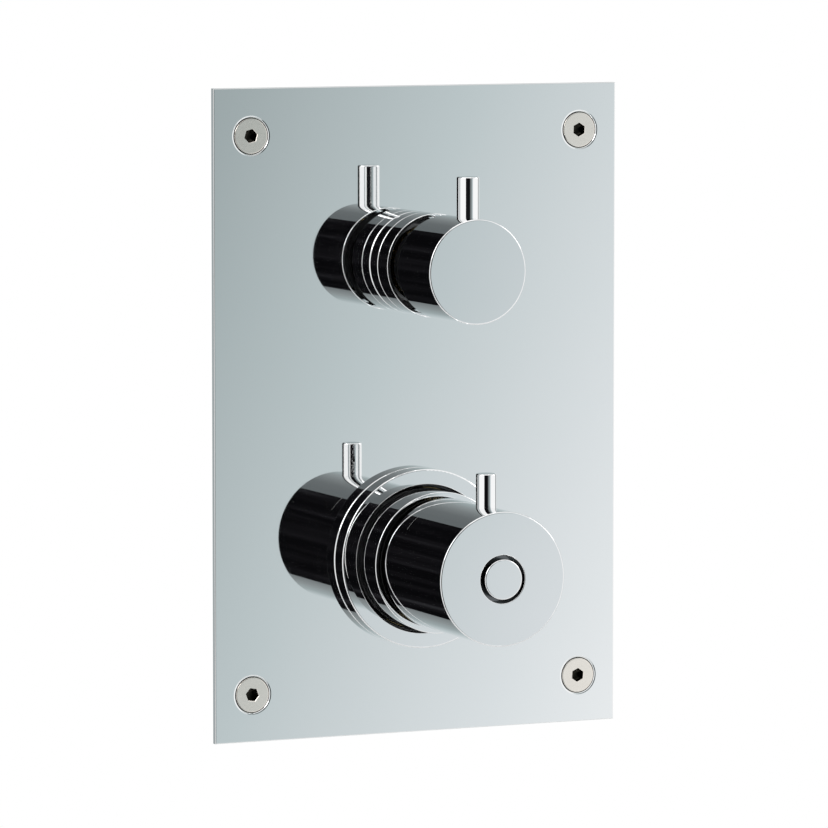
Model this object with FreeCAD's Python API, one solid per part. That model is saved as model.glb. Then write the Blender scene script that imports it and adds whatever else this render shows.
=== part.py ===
import FreeCAD, Part
import math
import os

# Concealed thermostatic shower valve with a mirror-polished cover plate and two knobs.
# Millimetres. X runs to the right as seen from the room, Y into the wall, Z up.
# The origin is the middle of the wall fixings, in the plane of the finished wall.

V = FreeCAD.Vector
UP = 90
LEFT = 180
HALF_TURN = 180

# Allowances of the cutting and joining itself
overrun = 1.0
skin = 0.1
joint_overlap = 0.5
pick_tolerance = 0.1
same_place = 1e-6

# Cover plate, its screws and the gap behind it
plate_width = 148.0
plate_height = 220.0
plate_thickness = 2.0
plate_edge_round = 0.3
plate_standoff = 4.0
plate_screw_margin_x = 13.5
plate_screw_margin_z = 16.0
gasket_setback = 2.5
gasket_strip = 3.0

# Countersunk socket screws of the plate
screw_head_radius = 6.0
screw_head_land = 0.3
screw_shank_radius = 3.0
screw_length = 18.0
screw_key_size = 4.0
screw_key_depth = 2.4
screw_key_turns = {(-1, 1): 16.0, (1, 1): 3.0, (1, -1): 5.0, (-1, -1): 40.0}
cone_clearance = 0.05
screw_clearance = 0.05
bush_wall = 1.55
bush_flange_radius = 6.6

# Sheet frame on the wall
frame_thickness = 2.0
frame_edge_gap = 1.0
frame_corner_round = 4.0
frame_window_width = 86.0
frame_window_height = 156.0
wall_hole_radius = 2.6
wall_hole_margin_x = 9.5
wall_hole_margin_z = 33.5
wall_countersink_depth = 1.2

# Brass body in the wall
control_pitch = 100.0
body_face = 2.0
lug_thickness = 7.0
lug_height = 14.0
lug_screw_x = 50.0
lug_end_margin = 4.5
body_screw_radius = 2.5
body_screw_length = 11.0
body_screw_head_radius = 4.25
body_screw_head_height = 1.6
body_screw_head_round = 0.4
body_screw_key_depth = 1.1
body_screw_key_size = 3.0
thermostat_bore = 19.0
thermostat_boss = 25.0
thermostat_floor = 56.0
boss_floor = 4.0
flow_thread_bore = 12.5
flow_chamber_bore = 13.5
flow_boss = 20.0
flow_thread_end = 14.0
flow_seat = 36.0
flow_inlet_bore = 6.0
link_depth = 49.0
link_radius = 8.0
link_bore = 5.5
port_boss = 13.5
port_thread_bore = 9.5
port_thread_length = 12.0
inlet_depth = 29.0
inlet_reach = 47.0
check_pocket_bore = 8.5
check_pocket_end = 22.6
gallery_radius = 2.75
gallery_offset = 5.25
gallery_spread = 2.5
gallery_reach_in = 4.0
gallery_reach_out = 0.5
outlet_depth = 24.0
outlet_reach = 42.0
outlet_bore = 7.0
port_hex_size = 27.0
port_hex_length = 10.0
boss_rear_round = 1.5
casting_round = 1.2

# Thermostatic cartridge
sleeve_start = 8.0
sleeve_end = 55.0
sleeve_clearance = 0.1
sleeve_bore = 14.0
sleeve_front_bore = 11.0
sleeve_channel = 2.1
sleeve_channel_margin = 0.5
cold_seat = 21.7
hot_seat = 35.0
mixed_channel_start = 43.5
mixed_port_radius = 2.8
sleeve_port_radius = 2.2
sleeve_port_count = 8
groove_width = 2.6
ring_side_gap = 0.1
ring_section = 1.0
sleeve_ring_places = (13.0, 29.0, 40.3)
cap_wall = 2.75
cap_floor = 3.0
shuttle_front = 22.3
shuttle_rear = 33.6
shuttle_wall = 2.4
shuttle_web = (25.6, 27.6)
shuttle_hub_front = 1.0
shuttle_hub_rear = 1.5
shuttle_hole_count = 6
shuttle_hole_margin = 0.3
shuttle_seal_place = 30.2
shuttle_seal_section = 0.65
wax_radius = 6.0
wax_front = 22.0
wax_rear = 46.0
wax_front_round = 0.6
wax_rear_round = 0.8
wax_piston_radius = 2.0
wax_hub_wall = 1.6
regulator_front = 3.5
regulator_wall = 5.0
regulator_rear = 20.0
regulator_cup_wall = 2.4
regulator_key_width = 3.0
regulator_key_height = 1.5
regulator_key_gap = 0.15
regulator_key_root = 0.6
regulator_key_front = 3.0
regulator_key_rear = 1.0
overload_disc = (17.0, 19.0)
overload_groove_depth = 0.6
overload_groove_lip = 0.2
overload_clip_grip = 0.5
overload_clip_width = 1.6
overload_clip_mouth = 3.0
return_spring_radius = 9.0
return_spring_wire = 1.2
return_spring_turns = 8
overload_spring_radius = 6.6
overload_spring_wire = 1.6
overload_spring_turns = 3.5
spring_seat_gap = 0.05
running_clearance = 0.05
seat_clearance = 0.3

# Cartridge nut, temperature spindle and stop ring
nut_thread_end = 8.0
nut_flange = (-4.0, 2.0)
nut_hex_size = 36.0
nut_boss_radius = 11.0
nut_boss_front = -10.0
nut_boss_round = 0.5
hexagon_turn = 30.0
spindle_radius = 6.0
spindle_thread_radius = 5.0
spindle_thread_end = 10.5
spindle_thrust = (0.3, 2.0)
spindle_thrust_radius = 8.0
spline_radius = 4.0
spline_depth = 0.35
spline_teeth = 20
spline_clearance = 0.08
spline_end_room = 0.5
spline_back_room = 0.8
temperature_spline = (-56.5, -40.0)
spindle_neck_radius = 4.6
spindle_neck_gap = 4.0
spindle_edge_round = 0.4
spindle_ring_section = 0.7
spindle_ring_offsets = (3.0, 6.0)
stop_ring_radius = 19.5
stop_ring_wall = 2.0
stop_ring_floor = 4.0
stop_ring_round = 0.3
stop_ring_front = -35.2
stop_tooth_height = 2.9
stop_tooth_release = 0.3
stop_tooth_span = 14.0
stop_tooth_long = 8.0
stop_clearance_angle = 0.6
cold_travel = 210.0
hot_travel = 50.0

# Temperature control in front of the plate, measured out from the plate's face
flange_radius = 30.5
flange_height = 7.0
flange_bore_gap = 1.4
flange_bore_round = 0.2
flange_ring_section = 0.85
flange_ring_place = 2.8
ring_front_round = 0.5
ring_back_round = 0.6
temperature_shroud_radius = 24.0
temperature_shroud_wall = 2.0
temperature_shroud_front = 20.0
shroud_rim_round = 0.35
shroud_lip_round = 0.25
temperature_knob_radius = 22.4
temperature_knob_back = 24.0
temperature_knob_face = 70.0
temperature_knob_wall = 1.2
temperature_lever_radius = 3.4
temperature_lever_place = 56.6
temperature_lever_height = 33.8
temperature_lever_seat = 19.6
temperature_lever_shank_end = 12.0
knob_front_wall = 3.5
knob_face_round = 0.5
knob_back_round = 0.3
adapter_clearance = 0.05
temperature_adapter_rear = -36.0
adapter_arm_room = 0.6
lever_shank_radius = 2.0
lever_top_round = 0.5
grub_radius = 2.0
grub_key_size = 2.0
grub_key_depth = 2.5
grub_setback = 0.4
grub_tip_gap = 0.1
temperature_grub_place = -48.0
index_mark_from = 128.0
index_mark_to = 143.0
index_mark_place = 32.3
index_mark_width = 0.35
index_mark_depth = 0.2

# Stop-release button
button_radius = 6.7
button_hole_radius = 8.0
button_hole_round = 0.25
button_proud = 0.8
button_edge_round = 0.4
button_rim_radius = 9.2
button_rim_thickness = 1.2
button_rim_gap = 0.2
button_travel = 2.5
button_stem_radius = 3.0
button_stem_end = -60.5
button_stem_round = 0.4
button_spring_radius = 5.0
button_spring_wire = 0.7
button_spring_turns = 3.5
button_spring_pocket_radius = 6.6
button_spring_pocket_depth = 3.0
release_arm_thickness = 1.0
release_arm_inner = 4.2
release_boss_wall = 0.6
pawl_place = 13.0
pawl_rod_radius = 1.2
pawl_radius = 2.3
pawl_length = 2.5
pawl_front = -35.0
pawl_hole_clearance = 0.08

# Flow control in front of the plate
base_ring_height = 6.8
flow_shroud_radius = 17.5
flow_shroud_front = 15.0
flow_shroud_rim = 1.0
flow_shroud_rim_round = 0.25
flow_shroud_lip_round = 0.15
flow_shroud_back_round = 0.12
flow_tube_radius = 15.0
flow_tube_wall = 1.5
flow_recess_depth = 6.5
flow_knob_radius = 17.5
flow_knob_back = 23.7
flow_knob_face = 50.0
flow_knob_wall = 1.0
flow_lever_radius = 3.75
flow_lever_place = 41.7
flow_lever_height = 31.2
flow_lever_seat = 14.6
flow_lever_shank_end = 8.0
flow_adapter = (-52.5, -33.0)
flow_hub_gap = 0.3
flow_hub_end = -16.5
flow_grub_place = -40.0
flow_spline = (-46.0, -34.0)

# Ceramic-disc flow cartridge
flow_neck_radius = 7.0
flow_neck_front = -14.0
flow_neck_round = 0.4
flow_hex_size = 22.0
flow_hex_front = -6.0
flow_flange_front = 0.0
flow_flange_radius = 13.3
flow_barrel_radius = 11.5
flow_barrel_end = 33.0
flow_cavity_radius = 9.0
flow_cavity_start = 4.0
flow_window = (14.8, 19.6)
flow_window_width = 9.0
flow_spindle_radius = 4.0
flow_thrust_radius = 6.0
flow_thrust_rear = 6.0
flow_thrust_gap = 0.2
drive_bar = (20.0, 24.0)
drive_bar_length = 17.0
drive_bar_width = 6.0
drive_tang_depth = 1.5
drive_tang_place = 2.2
drive_tang_half_width = 1.5
drive_tang_half_height = 1.2
drive_tang_gap = 0.1
drive_stop_height = 2.6
drive_stop_clearance = 1.0
drive_stop_gap = 0.3
moving_disc_rear = 28.0
fixed_disc_rear = 31.5
lapped_gap = 0.02
moving_disc_gap = 0.2
disc_key_radius = 1.5
disc_key_setback = 0.1
disc_key_gap = 0.05
disc_opening_inner = 2.0
disc_opening_radius = 5.8
disc_opening_angle = 70.0
flow_turn = 90.0
seat_seal_radius = 9.0
seat_seal_wall = 2.4
seat_seal_round = 0.4
clip_thickness = 0.8
clip_end_gap = 0.1
clip_side_gap = 0.05
clip_groove_depth = 0.6
clip_mouth_share = 0.8
clip_radius = 5.6
flow_ring_section = 0.5
flow_ring_offsets = (4.0, 7.0)

# Check valves and filters in the inlets
filter_thickness = 1.4
filter_web = 0.5
filter_hole_radius = 0.85
filter_hole_pitch = 2.4
filter_rim = 1.2
cage_start = 23.0
cage_wall = 1.7
cage_seat_wall = 1.5
cage_seat_bore = 4.4
cage_spider = (24.5, 26.0)
cage_spider_holes = 4
cage_spider_hole_radius = 1.5
cage_spider_hole_place = 4.4
cage_spider_turn = 45.0
poppet_radius = 5.6
poppet_thickness = 1.2
poppet_gap = 0.1
poppet_stem_radius = 1.2
poppet_travel = 2.0
poppet_spring_radius = 3.2
poppet_spring_wire = 0.5
poppet_spring_turns = 4

# Levels and places that follow from the sizes above
plate_back = -plate_standoff
plate_front = plate_back - plate_thickness
flow_z = control_pitch / 2
temperature_z = -control_pitch / 2
plate_screw_pitch_x = plate_width - 2 * plate_screw_margin_x
plate_screw_pitch_z = plate_height - 2 * plate_screw_margin_z
frame_half_width = plate_width / 2 - gasket_setback - gasket_strip - frame_edge_gap
frame_half_height = plate_height / 2 - gasket_setback - gasket_strip - frame_edge_gap
wall_hole_pitch_x = 2 * (frame_half_width - wall_hole_margin_x)
wall_hole_pitch_z = 2 * (frame_half_height - wall_hole_margin_z)
cone_radius = screw_head_radius + screw_head_land + cone_clearance
filter_start = inlet_reach - port_thread_length - filter_thickness
cage_end = filter_start - poppet_gap
poppet_stem_end = cage_start + poppet_travel
button_rim_front = plate_front - temperature_knob_face + knob_front_wall + button_rim_gap
button_rim_rear = button_rim_front + button_rim_thickness
release_arm_rear = button_rim_rear + release_arm_thickness
temperature_adapter_front = release_arm_rear + button_travel + adapter_arm_room
stop_tooth_depth = pawl_front + button_travel - stop_tooth_release - stop_ring_front
flow_shroud_bore = flow_tube_radius - flow_tube_wall
flow_hub_radius = flow_shroud_bore - flow_hub_gap


def out(distance):
    """Depth of a point that stands this far in front of the plate's face."""
    return plate_front - distance


def outline(corners, place):
    """Closed wire through (u, v) corners; a third value rounds that corner."""
    count = len(corners)
    starts = []
    ends = []
    arcs = []
    for i, corner in enumerate(corners):
        here = V(corner[0], corner[1], 0)
        before = V(corners[i - 1][0], corners[i - 1][1], 0) - here
        after = V(corners[(i + 1) % count][0], corners[(i + 1) % count][1], 0) - here
        radius = corner[2] if len(corner) > 2 else 0
        if radius <= 0:
            starts.append(here)
            ends.append(here)
            arcs.append(None)
            continue
        before.normalize()
        after.normalize()
        half = before.getAngle(after) / 2
        reach = radius / math.tan(half)
        inward = (before + after).normalize()
        starts.append(here + before * reach)
        ends.append(here + after * reach)
        arcs.append(here + inward * (radius / math.sin(half) - radius))
    edges = []
    for i in range(count):
        if arcs[i] is not None:
            edges.append(Part.Arc(place(starts[i]), place(arcs[i]), place(ends[i])).toShape())
        following = starts[(i + 1) % count]
        if (following - ends[i]).Length > same_place:
            edges.append(Part.LineSegment(place(ends[i]), place(following)).toShape())
    return Part.Wire(edges)


def turned(z, corners, x=0.0):
    """Body of revolution about the line along Y through (x, z); corners are (radius, y)."""
    wire = outline(corners, lambda p: V(x + p.x, p.y, z))
    solid = Part.Face(wire).revolve(V(x, 0, z), V(0, 1, 0), 360)
    return upright(solid)


def upright(solid):
    """The same solid with its faces pointing outwards."""
    if solid.Volume < 0:
        solid.reverse()
    return solid


def rod(start, end, radius):
    """Round bar between two points."""
    along = end - start
    return Part.makeCylinder(radius, along.Length, start, along)


def pipe(start, end, radius, bore):
    """Round tube between two points."""
    return rod(start, end, radius).cut(rod(start, end, bore))


def block(low, high):
    """Rectangular block between two opposite corners."""
    return Part.makeBox(high[0] - low[0], high[1] - low[1], high[2] - low[2], V(*low))


def prism(z, points, start, end, x=0.0):
    """Straight prism along Y with its (x, z) points measured from the axis."""
    corners = [V(x + u, start, z + v) for u, v in points]
    face = Part.Face(Part.makePolygon(corners + corners[:1]))
    return upright(face.extrude(V(0, end - start, 0)))


def hexagon(across_flats, turn=0.0):
    """Corner points of a hexagon, its first corner turned this far from +X."""
    radius = across_flats / 2 / math.cos(math.radians(30))
    angles = [math.radians(turn + 60 * i) for i in range(6)]
    return [(radius * math.cos(a), radius * math.sin(a)) for a in angles]


def spline_points(radius):
    """Outline of a toothed shaft end of this outer radius."""
    points = []
    step = 360.0 / spline_teeth
    for i in range(spline_teeth):
        for share, reach in ((0.0, -spline_depth), (0.3, 0.0), (0.5, 0.0), (0.8, -spline_depth)):
            angle = math.radians((i + share) * step)
            points.append(((radius + reach) * math.cos(angle), (radius + reach) * math.sin(angle)))
    return points


def sector(z, inner, outer, start, end, from_angle, to_angle):
    """Part of a ring about the Y axis at z, between two angles seen from the room."""
    ring = turned(z, [(inner, start), (outer, start), (outer, end), (inner, end)])
    middle = math.radians((from_angle + to_angle) / 2)
    half = math.radians((to_angle - from_angle) / 2)
    far = 2 * outer
    left = (far * math.cos(middle + half), far * math.sin(middle + half))
    tip = (far * math.cos(middle), far * math.sin(middle))
    right = (far * math.cos(middle - half), far * math.sin(middle - half))
    return ring.common(prism(z, [(0, 0), right, tip, left], start, end))


def o_ring(z, place, radius, section):
    """Rubber ring about the Y axis at z."""
    return Part.makeTorus(radius, section, V(0, place, z), V(0, 1, 0))


def coil(start, along, radius, wire, length, turns):
    """Compression spring whose centre line starts at start and runs along a row axis."""
    axis = V(along)
    side = V(0, 0, 1) if abs(axis.z) < 0.5 else V(1, 0, 0)
    third = axis.cross(side)
    quarters = int(turns * 4)
    rise = length / quarters

    def point(quarter):
        """Point of the centre line after this many quarter turns."""
        angle = quarter * math.pi / 2
        swing = side * (radius * math.cos(angle)) + third * (radius * math.sin(angle))
        return start + swing + axis * (rise * quarter)

    arcs = [Part.Arc(point(i), point(i + 0.5), point(i + 1)).toShape() for i in range(quarters)]
    path = Part.Wire(arcs)
    heading = third * (radius * math.pi / 2) + axis * rise
    section = Part.Wire(Part.makeCircle(wire / 2, point(0), heading))
    return upright(Part.Wire(path).makePipeShell([section], True, False))


def corners_of(pitch_x, pitch_z):
    """The four corners of a rectangle about the origin, as signs and places."""
    return [((i, k), i * pitch_x / 2, k * pitch_z / 2) for i in (-1, 1) for k in (-1, 1)]


def fused(first, *others):
    """One solid made of several that touch."""
    return first.multiFuse(list(others)).removeSplitter()


def save(node, *solids):
    """Write one named piece, or one group of like pieces."""
    shape = solids[0] if len(solids) == 1 else Part.makeCompound(list(solids))
    shape.exportStep("parts/" + node + ".step")


def face_plate():
    """Flat mirror-polished plate with two control holes and four countersunk screw holes."""
    half_width = plate_width / 2
    half_height = plate_height / 2
    plate = block((-half_width, plate_front, -half_height), (half_width, plate_back, half_height))
    rim = [e for e in plate.Edges if abs(e.CenterOfMass.y - plate_front) < same_place]
    plate = plate.makeFillet(plate_edge_round, rim)
    holes = [rod(V(0, plate_front - overrun, flow_z), V(0, plate_back + overrun, flow_z), flow_plate_hole())]
    holes.append(rod(V(0, plate_front - overrun, temperature_z), V(0, plate_back + overrun, temperature_z),
                     temperature_plate_hole()))
    for _, x, z in corners_of(plate_screw_pitch_x, plate_screw_pitch_z):
        holes.append(screw_cone(x, z))
    return plate.cut(Part.makeCompound(holes))


def flow_plate_hole():
    """Hole radius for the flow control's tube."""
    return flow_tube_radius + seat_clearance


def temperature_plate_hole():
    """Hole radius for the temperature control's shroud."""
    return temperature_shroud_radius + seat_clearance


def screw_cone(x, z):
    """Space of a countersunk head from in front of the plate down to the thread."""
    depth = cone_radius - screw_shank_radius - screw_clearance
    tip = cone_radius - depth
    start = plate_front - overrun
    end = plate_front + depth
    return turned(z, [(0, start), (cone_radius, start), (cone_radius, plate_front), (tip, end), (0, end)], x)


def plate_screws():
    """Countersunk screws with hexagon sockets, flush with the plate."""
    cone = screw_head_radius - screw_shank_radius
    land = plate_front + screw_head_land
    end = plate_front + screw_length
    screws = []
    for signs, x, z in corners_of(plate_screw_pitch_x, plate_screw_pitch_z):
        screw = turned(z, [(0, plate_front), (screw_head_radius, plate_front), (screw_head_radius, land),
                           (screw_shank_radius, land + cone), (screw_shank_radius, end), (0, end)], x)
        key = prism(z, hexagon(screw_key_size, screw_key_turns[signs]), plate_front - overrun,
                    plate_front + screw_key_depth, x)
        screws.append(screw.cut(key))
    return screws


def plate_bushes():
    """Flanged threaded bushes in the frame that carry the plate and take its screws."""
    bore = screw_shank_radius + screw_clearance
    body = bore + bush_wall
    end = plate_front + screw_length
    bushes = []
    for _, x, z in corners_of(plate_screw_pitch_x, plate_screw_pitch_z):
        bush = turned(z, [(bore, plate_back), (bush_flange_radius, plate_back),
                          (bush_flange_radius, -frame_thickness), (body, -frame_thickness),
                          (body, end), (bore, end)], x)
        bushes.append(bush.cut(screw_cone(x, z)))
    return bushes


def plate_gasket():
    """Moulded rubber strip that closes the gap between plate and wall, set back from the plate's edge."""
    x = plate_width / 2 - gasket_setback
    z = plate_height / 2 - gasket_setback
    outer = block((-x, plate_back, -z), (x, 0, z))
    inner = block((gasket_strip - x, plate_back, gasket_strip - z),
                  (x - gasket_strip, 0, z - gasket_strip))
    return outer.cut(inner)


def wall_frame():
    """Sheet frame that is screwed to the wall and carries the body, the bushes and the plate."""
    x = frame_half_width
    z = frame_half_height
    corner = frame_corner_round
    edge = outline([(-x, -z, corner), (x, -z, corner), (x, z, corner), (-x, z, corner)],
                   lambda p: V(p.x, -frame_thickness, p.y))
    sheet = upright(Part.Face(edge).extrude(V(0, frame_thickness, 0)))
    wx = frame_window_width / 2
    wz = frame_window_height / 2
    window = outline([(-wx, -wz, corner), (wx, -wz, corner), (wx, wz, corner), (-wx, wz, corner)],
                     lambda p: V(p.x, -frame_thickness - overrun, p.y))
    holes = [upright(Part.Face(window).extrude(V(0, frame_thickness + 2 * overrun, 0)))]
    body = screw_shank_radius + screw_clearance + bush_wall + running_clearance
    for _, hx, hz in corners_of(plate_screw_pitch_x, plate_screw_pitch_z):
        holes.append(rod(V(hx, -frame_thickness - overrun, hz), V(hx, overrun, hz), body))
    for _, hx, hz in corners_of(2 * lug_screw_x, control_pitch):
        holes.append(rod(V(hx, -frame_thickness - overrun, hz), V(hx, overrun, hz),
                         body_screw_radius + screw_clearance))
    front = -frame_thickness
    wide = wall_hole_radius + wall_countersink_depth
    for _, hx, hz in corners_of(wall_hole_pitch_x, wall_hole_pitch_z):
        holes.append(turned(hz, [(0, front - overrun), (wide, front - overrun), (wide, front),
                                 (wall_hole_radius, front + wall_countersink_depth),
                                 (wall_hole_radius, overrun), (0, overrun)], hx))
    return sheet.cut(Part.makeCompound(holes))


def body_screws():
    """Low-head screws that hold the body's lugs to the back of the frame."""
    front = -frame_thickness
    screws = []
    for _, x, z in corners_of(2 * lug_screw_x, control_pitch):
        head = front - body_screw_head_height
        screw = turned(z, [(0, head), (body_screw_head_radius, head, body_screw_head_round),
                           (body_screw_head_radius, front), (body_screw_radius, front),
                           (body_screw_radius, front + body_screw_length),
                           (0, front + body_screw_length)], x)
        key = prism(z, hexagon(body_screw_key_size), head - overrun, head + body_screw_key_depth, x)
        screws.append(screw.cut(key))
    return screws


def valve_body():
    """Cast brass body: thermostat chamber below, flow chamber above, inlets, link and outlet."""
    rear = thermostat_floor + boss_floor
    outlet_end = flow_z + outlet_reach
    link = rod(V(0, link_depth, temperature_z), V(0, link_depth, flow_z), link_radius)
    arms = rod(V(-inlet_reach, inlet_depth, temperature_z), V(inlet_reach, inlet_depth, temperature_z),
               port_boss)
    outlet = rod(V(0, outlet_depth, flow_z), V(0, outlet_depth, outlet_end), port_boss)
    body = fused(rod(V(0, body_face, temperature_z), V(0, rear, temperature_z), thermostat_boss),
                 rod(V(0, body_face, flow_z), V(0, rear, flow_z), flow_boss), link, arms, outlet)
    rims = [e for e in body.Edges if e.Closed and abs(e.CenterOfMass.x) < pick_tolerance
            and e.CenterOfMass.y > rear - pick_tolerance]
    body = body.makeFillet(boss_rear_round, rims)
    blends = [e for e in body.Edges if "BSpline" in e.Curve.TypeId]
    body = body.makeFillet(casting_round, blends)
    additions = [port_hexagon(V(0, outlet_depth, outlet_end), V(0, 0, -1))]
    for side in (-1, 1):
        end = V(side * inlet_reach, inlet_depth, temperature_z)
        additions.append(port_hexagon(end, V(-side, 0, 0)))
    lug_end = lug_screw_x + lug_end_margin
    for z in (flow_z, temperature_z):
        additions.append(block((-lug_end, 0, z - lug_height / 2),
                               (lug_end, lug_thickness, z + lug_height / 2)))
    body = fused(body, *additions)

    cuts = [rod(V(0, -overrun, temperature_z), V(0, thermostat_floor, temperature_z), thermostat_bore)]
    cuts.append(rod(V(0, -overrun, flow_z), V(0, flow_thread_end, flow_z), flow_thread_bore))
    cuts.append(rod(V(0, flow_thread_end, flow_z), V(0, flow_seat, flow_z), flow_chamber_bore))
    cuts.append(rod(V(0, flow_seat, flow_z), V(0, link_depth + link_bore, flow_z), flow_inlet_bore))
    cuts.append(rod(V(0, link_depth, temperature_z), V(0, link_depth, flow_z), link_bore))
    cuts.append(rod(V(0, outlet_depth, flow_z), V(0, outlet_depth, outlet_end), outlet_bore))
    cuts.append(rod(V(0, outlet_depth, outlet_end - port_thread_length),
                    V(0, outlet_depth, outlet_end + overrun), port_thread_bore))
    for side, shift in ((-1, gallery_offset), (1, -gallery_offset)):
        thread_end = side * (inlet_reach - port_thread_length)
        cuts.append(rod(V(thread_end, inlet_depth, temperature_z),
                        V(side * (inlet_reach + overrun), inlet_depth, temperature_z), port_thread_bore))
        cuts.append(rod(V(side * check_pocket_end, inlet_depth, temperature_z),
                        V(thread_end, inlet_depth, temperature_z), check_pocket_bore))
        for spread in (-gallery_spread, gallery_spread):
            inner = V(side * (thermostat_bore - gallery_reach_in), inlet_depth + shift,
                      temperature_z + spread)
            outer = V(side * (check_pocket_end + gallery_reach_out), inlet_depth + shift,
                      temperature_z + spread)
            cuts.append(rod(inner, outer, gallery_radius))
    for z in (flow_z, temperature_z):
        seat = thermostat_boss if z < 0 else flow_boss
        cuts.append(rod(V(0, -overrun, z), V(0, body_face, z), seat))
    for _, x, z in corners_of(2 * lug_screw_x, control_pitch):
        cuts.append(rod(V(x, -overrun, z), V(x, body_screw_length, z), body_screw_radius + screw_clearance))
    for cutter in cuts:
        body = body.cut(cutter)
    return body


def port_hexagon(end, inward):
    """Spanner hexagon round the mouth of a port, from its end face inwards."""
    side = V(0, 0, 1) if abs(inward.z) < 0.5 else V(1, 0, 0)
    third = inward.cross(side)
    corners = [end + side * u + third * v for u, v in hexagon(port_hex_size)]
    return upright(Part.Face(Part.makePolygon(corners + corners[:1])).extrude(inward * port_hex_length))


def inlet_filters():
    """Perforated discs that keep grit out of the check valves."""
    filters = []
    radius = check_pocket_bore - running_clearance
    for side in (-1, 1):
        start = V(side * filter_start, inlet_depth, temperature_z)
        end = V(side * (filter_start + filter_thickness), inlet_depth, temperature_z)
        web = V(side * (filter_start + filter_web), inlet_depth, temperature_z)
        ring = pipe(start, end, radius, radius - filter_rim)
        disc = rod(start, web, radius - filter_rim / 2)
        reach = radius - filter_rim - filter_hole_radius
        steps = int(reach / filter_hole_pitch)
        for i in range(-steps, steps + 1):
            for k in range(-steps, steps + 1):
                y = i * filter_hole_pitch
                z = k * filter_hole_pitch
                if math.hypot(y, z) > reach:
                    continue
                disc = disc.cut(rod(start + V(-side * overrun, y, z), web + V(side * overrun, y, z),
                                    filter_hole_radius))
        filters.append(fused(ring, disc))
    return filters


def check_valve_cages():
    """Plastic cages with a seat at the mouth end and a guide spider at the inner end."""
    cages = []
    radius = check_pocket_bore - running_clearance
    for side in (-1, 1):
        def at(reach):
            """Point on the inlet's axis, this far out."""
            return V(side * reach, inlet_depth, temperature_z)
        cage = rod(at(cage_start), at(cage_end), radius)
        cage = cage.cut(rod(at(cage_start - overrun), at(cage_spider[0]), radius - cage_wall))
        cage = cage.cut(rod(at(cage_spider[1]), at(cage_end - cage_seat_wall), radius - cage_wall))
        cage = cage.cut(rod(at(cage_start - overrun), at(cage_end - cage_seat_wall),
                            poppet_stem_radius + running_clearance))
        cage = cage.cut(rod(at(cage_end - cage_seat_wall - skin), at(cage_end + overrun), cage_seat_bore))
        for i in range(cage_spider_holes):
            angle = math.radians(cage_spider_turn + 360.0 * i / cage_spider_holes)
            step = V(0, math.cos(angle), math.sin(angle)) * cage_spider_hole_place
            cage = cage.cut(rod(at(cage_start - overrun) + step, at(cage_spider[1] + overrun) + step,
                                cage_spider_hole_radius))
        cages.append(cage)
    return cages


def check_poppet(side):
    """Mushroom-shaped poppet, shut against its seat."""
    def at(reach):
        """Point on the inlet's axis, this far out."""
        return V(side * reach, inlet_depth, temperature_z)
    seat = cage_end - cage_seat_wall - poppet_gap
    head = rod(at(seat - poppet_thickness), at(seat), poppet_radius)
    return fused(head, rod(at(poppet_stem_end), at(seat), poppet_stem_radius))


def poppet_spring(side):
    """Light spring between the spider and the poppet."""
    half = poppet_spring_wire / 2
    low = cage_spider[1] + half + poppet_gap
    high = cage_end - cage_seat_wall - poppet_gap - poppet_thickness - half - poppet_gap
    start = V(side * low, inlet_depth, temperature_z)
    return coil(start, V(side, 0, 0), poppet_spring_radius, poppet_spring_wire, high - low,
                poppet_spring_turns)


def radial_holes(shape, place, radius, count, inner, outer, z):
    """The shape with a ring of holes drilled square to the Y axis at z."""
    for i in range(count):
        angle = math.radians(360.0 * (i + 0.5) / count)
        aim = V(math.cos(angle), 0, math.sin(angle))
        centre = V(0, place, z)
        shape = shape.cut(rod(centre + aim * inner, centre + aim * outer, radius))
    return shape


def thermostat_sleeve():
    """Cartridge sleeve with channels for cold, hot and mixed water and three ring grooves."""
    z = temperature_z
    outer = thermostat_bore - sleeve_clearance
    low = outer - sleeve_channel
    cold = inlet_depth - gallery_offset
    hot = inlet_depth + gallery_offset
    half = gallery_radius + sleeve_channel_margin
    ring_floor = thermostat_bore - 2 * ring_section - 2 * running_clearance
    sleeve = turned(z, [(sleeve_front_bore, sleeve_start), (outer, sleeve_start), (outer, sleeve_end),
                        (sleeve_bore, sleeve_end), (sleeve_bore, cold_seat), (sleeve_front_bore, cold_seat)])
    channels = [(cold - half, cold + half, low), (hot - half, hot + half, low),
                (mixed_channel_start, sleeve_end + overrun, low)]
    for place in sleeve_ring_places:
        channels.append((place - groove_width / 2, place + groove_width / 2, ring_floor))
    over = outer + overrun
    for start, end, floor in channels:
        sleeve = sleeve.cut(turned(z, [(floor, start), (over, start), (over, end), (floor, end)]))
    for place, radius in ((cold, sleeve_port_radius), (hot, sleeve_port_radius),
                          (link_depth, mixed_port_radius)):
        sleeve = radial_holes(sleeve, place, radius, sleeve_port_count, sleeve_bore - overrun, over, z)
    wide = regulator_key_width / 2 + regulator_key_gap
    tall = regulator_radius() + regulator_key_height + regulator_key_gap
    slot = block((-tall, sleeve_start - overrun, z - wide), (tall, cold_seat + skin, z + wide))
    return sleeve.cut(slot)


def sleeve_rings():
    """Rubber rings between the sleeve and the body."""
    radius = thermostat_bore - ring_section - running_clearance
    return [o_ring(temperature_z, place, radius, ring_section) for place in sleeve_ring_places]


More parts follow.
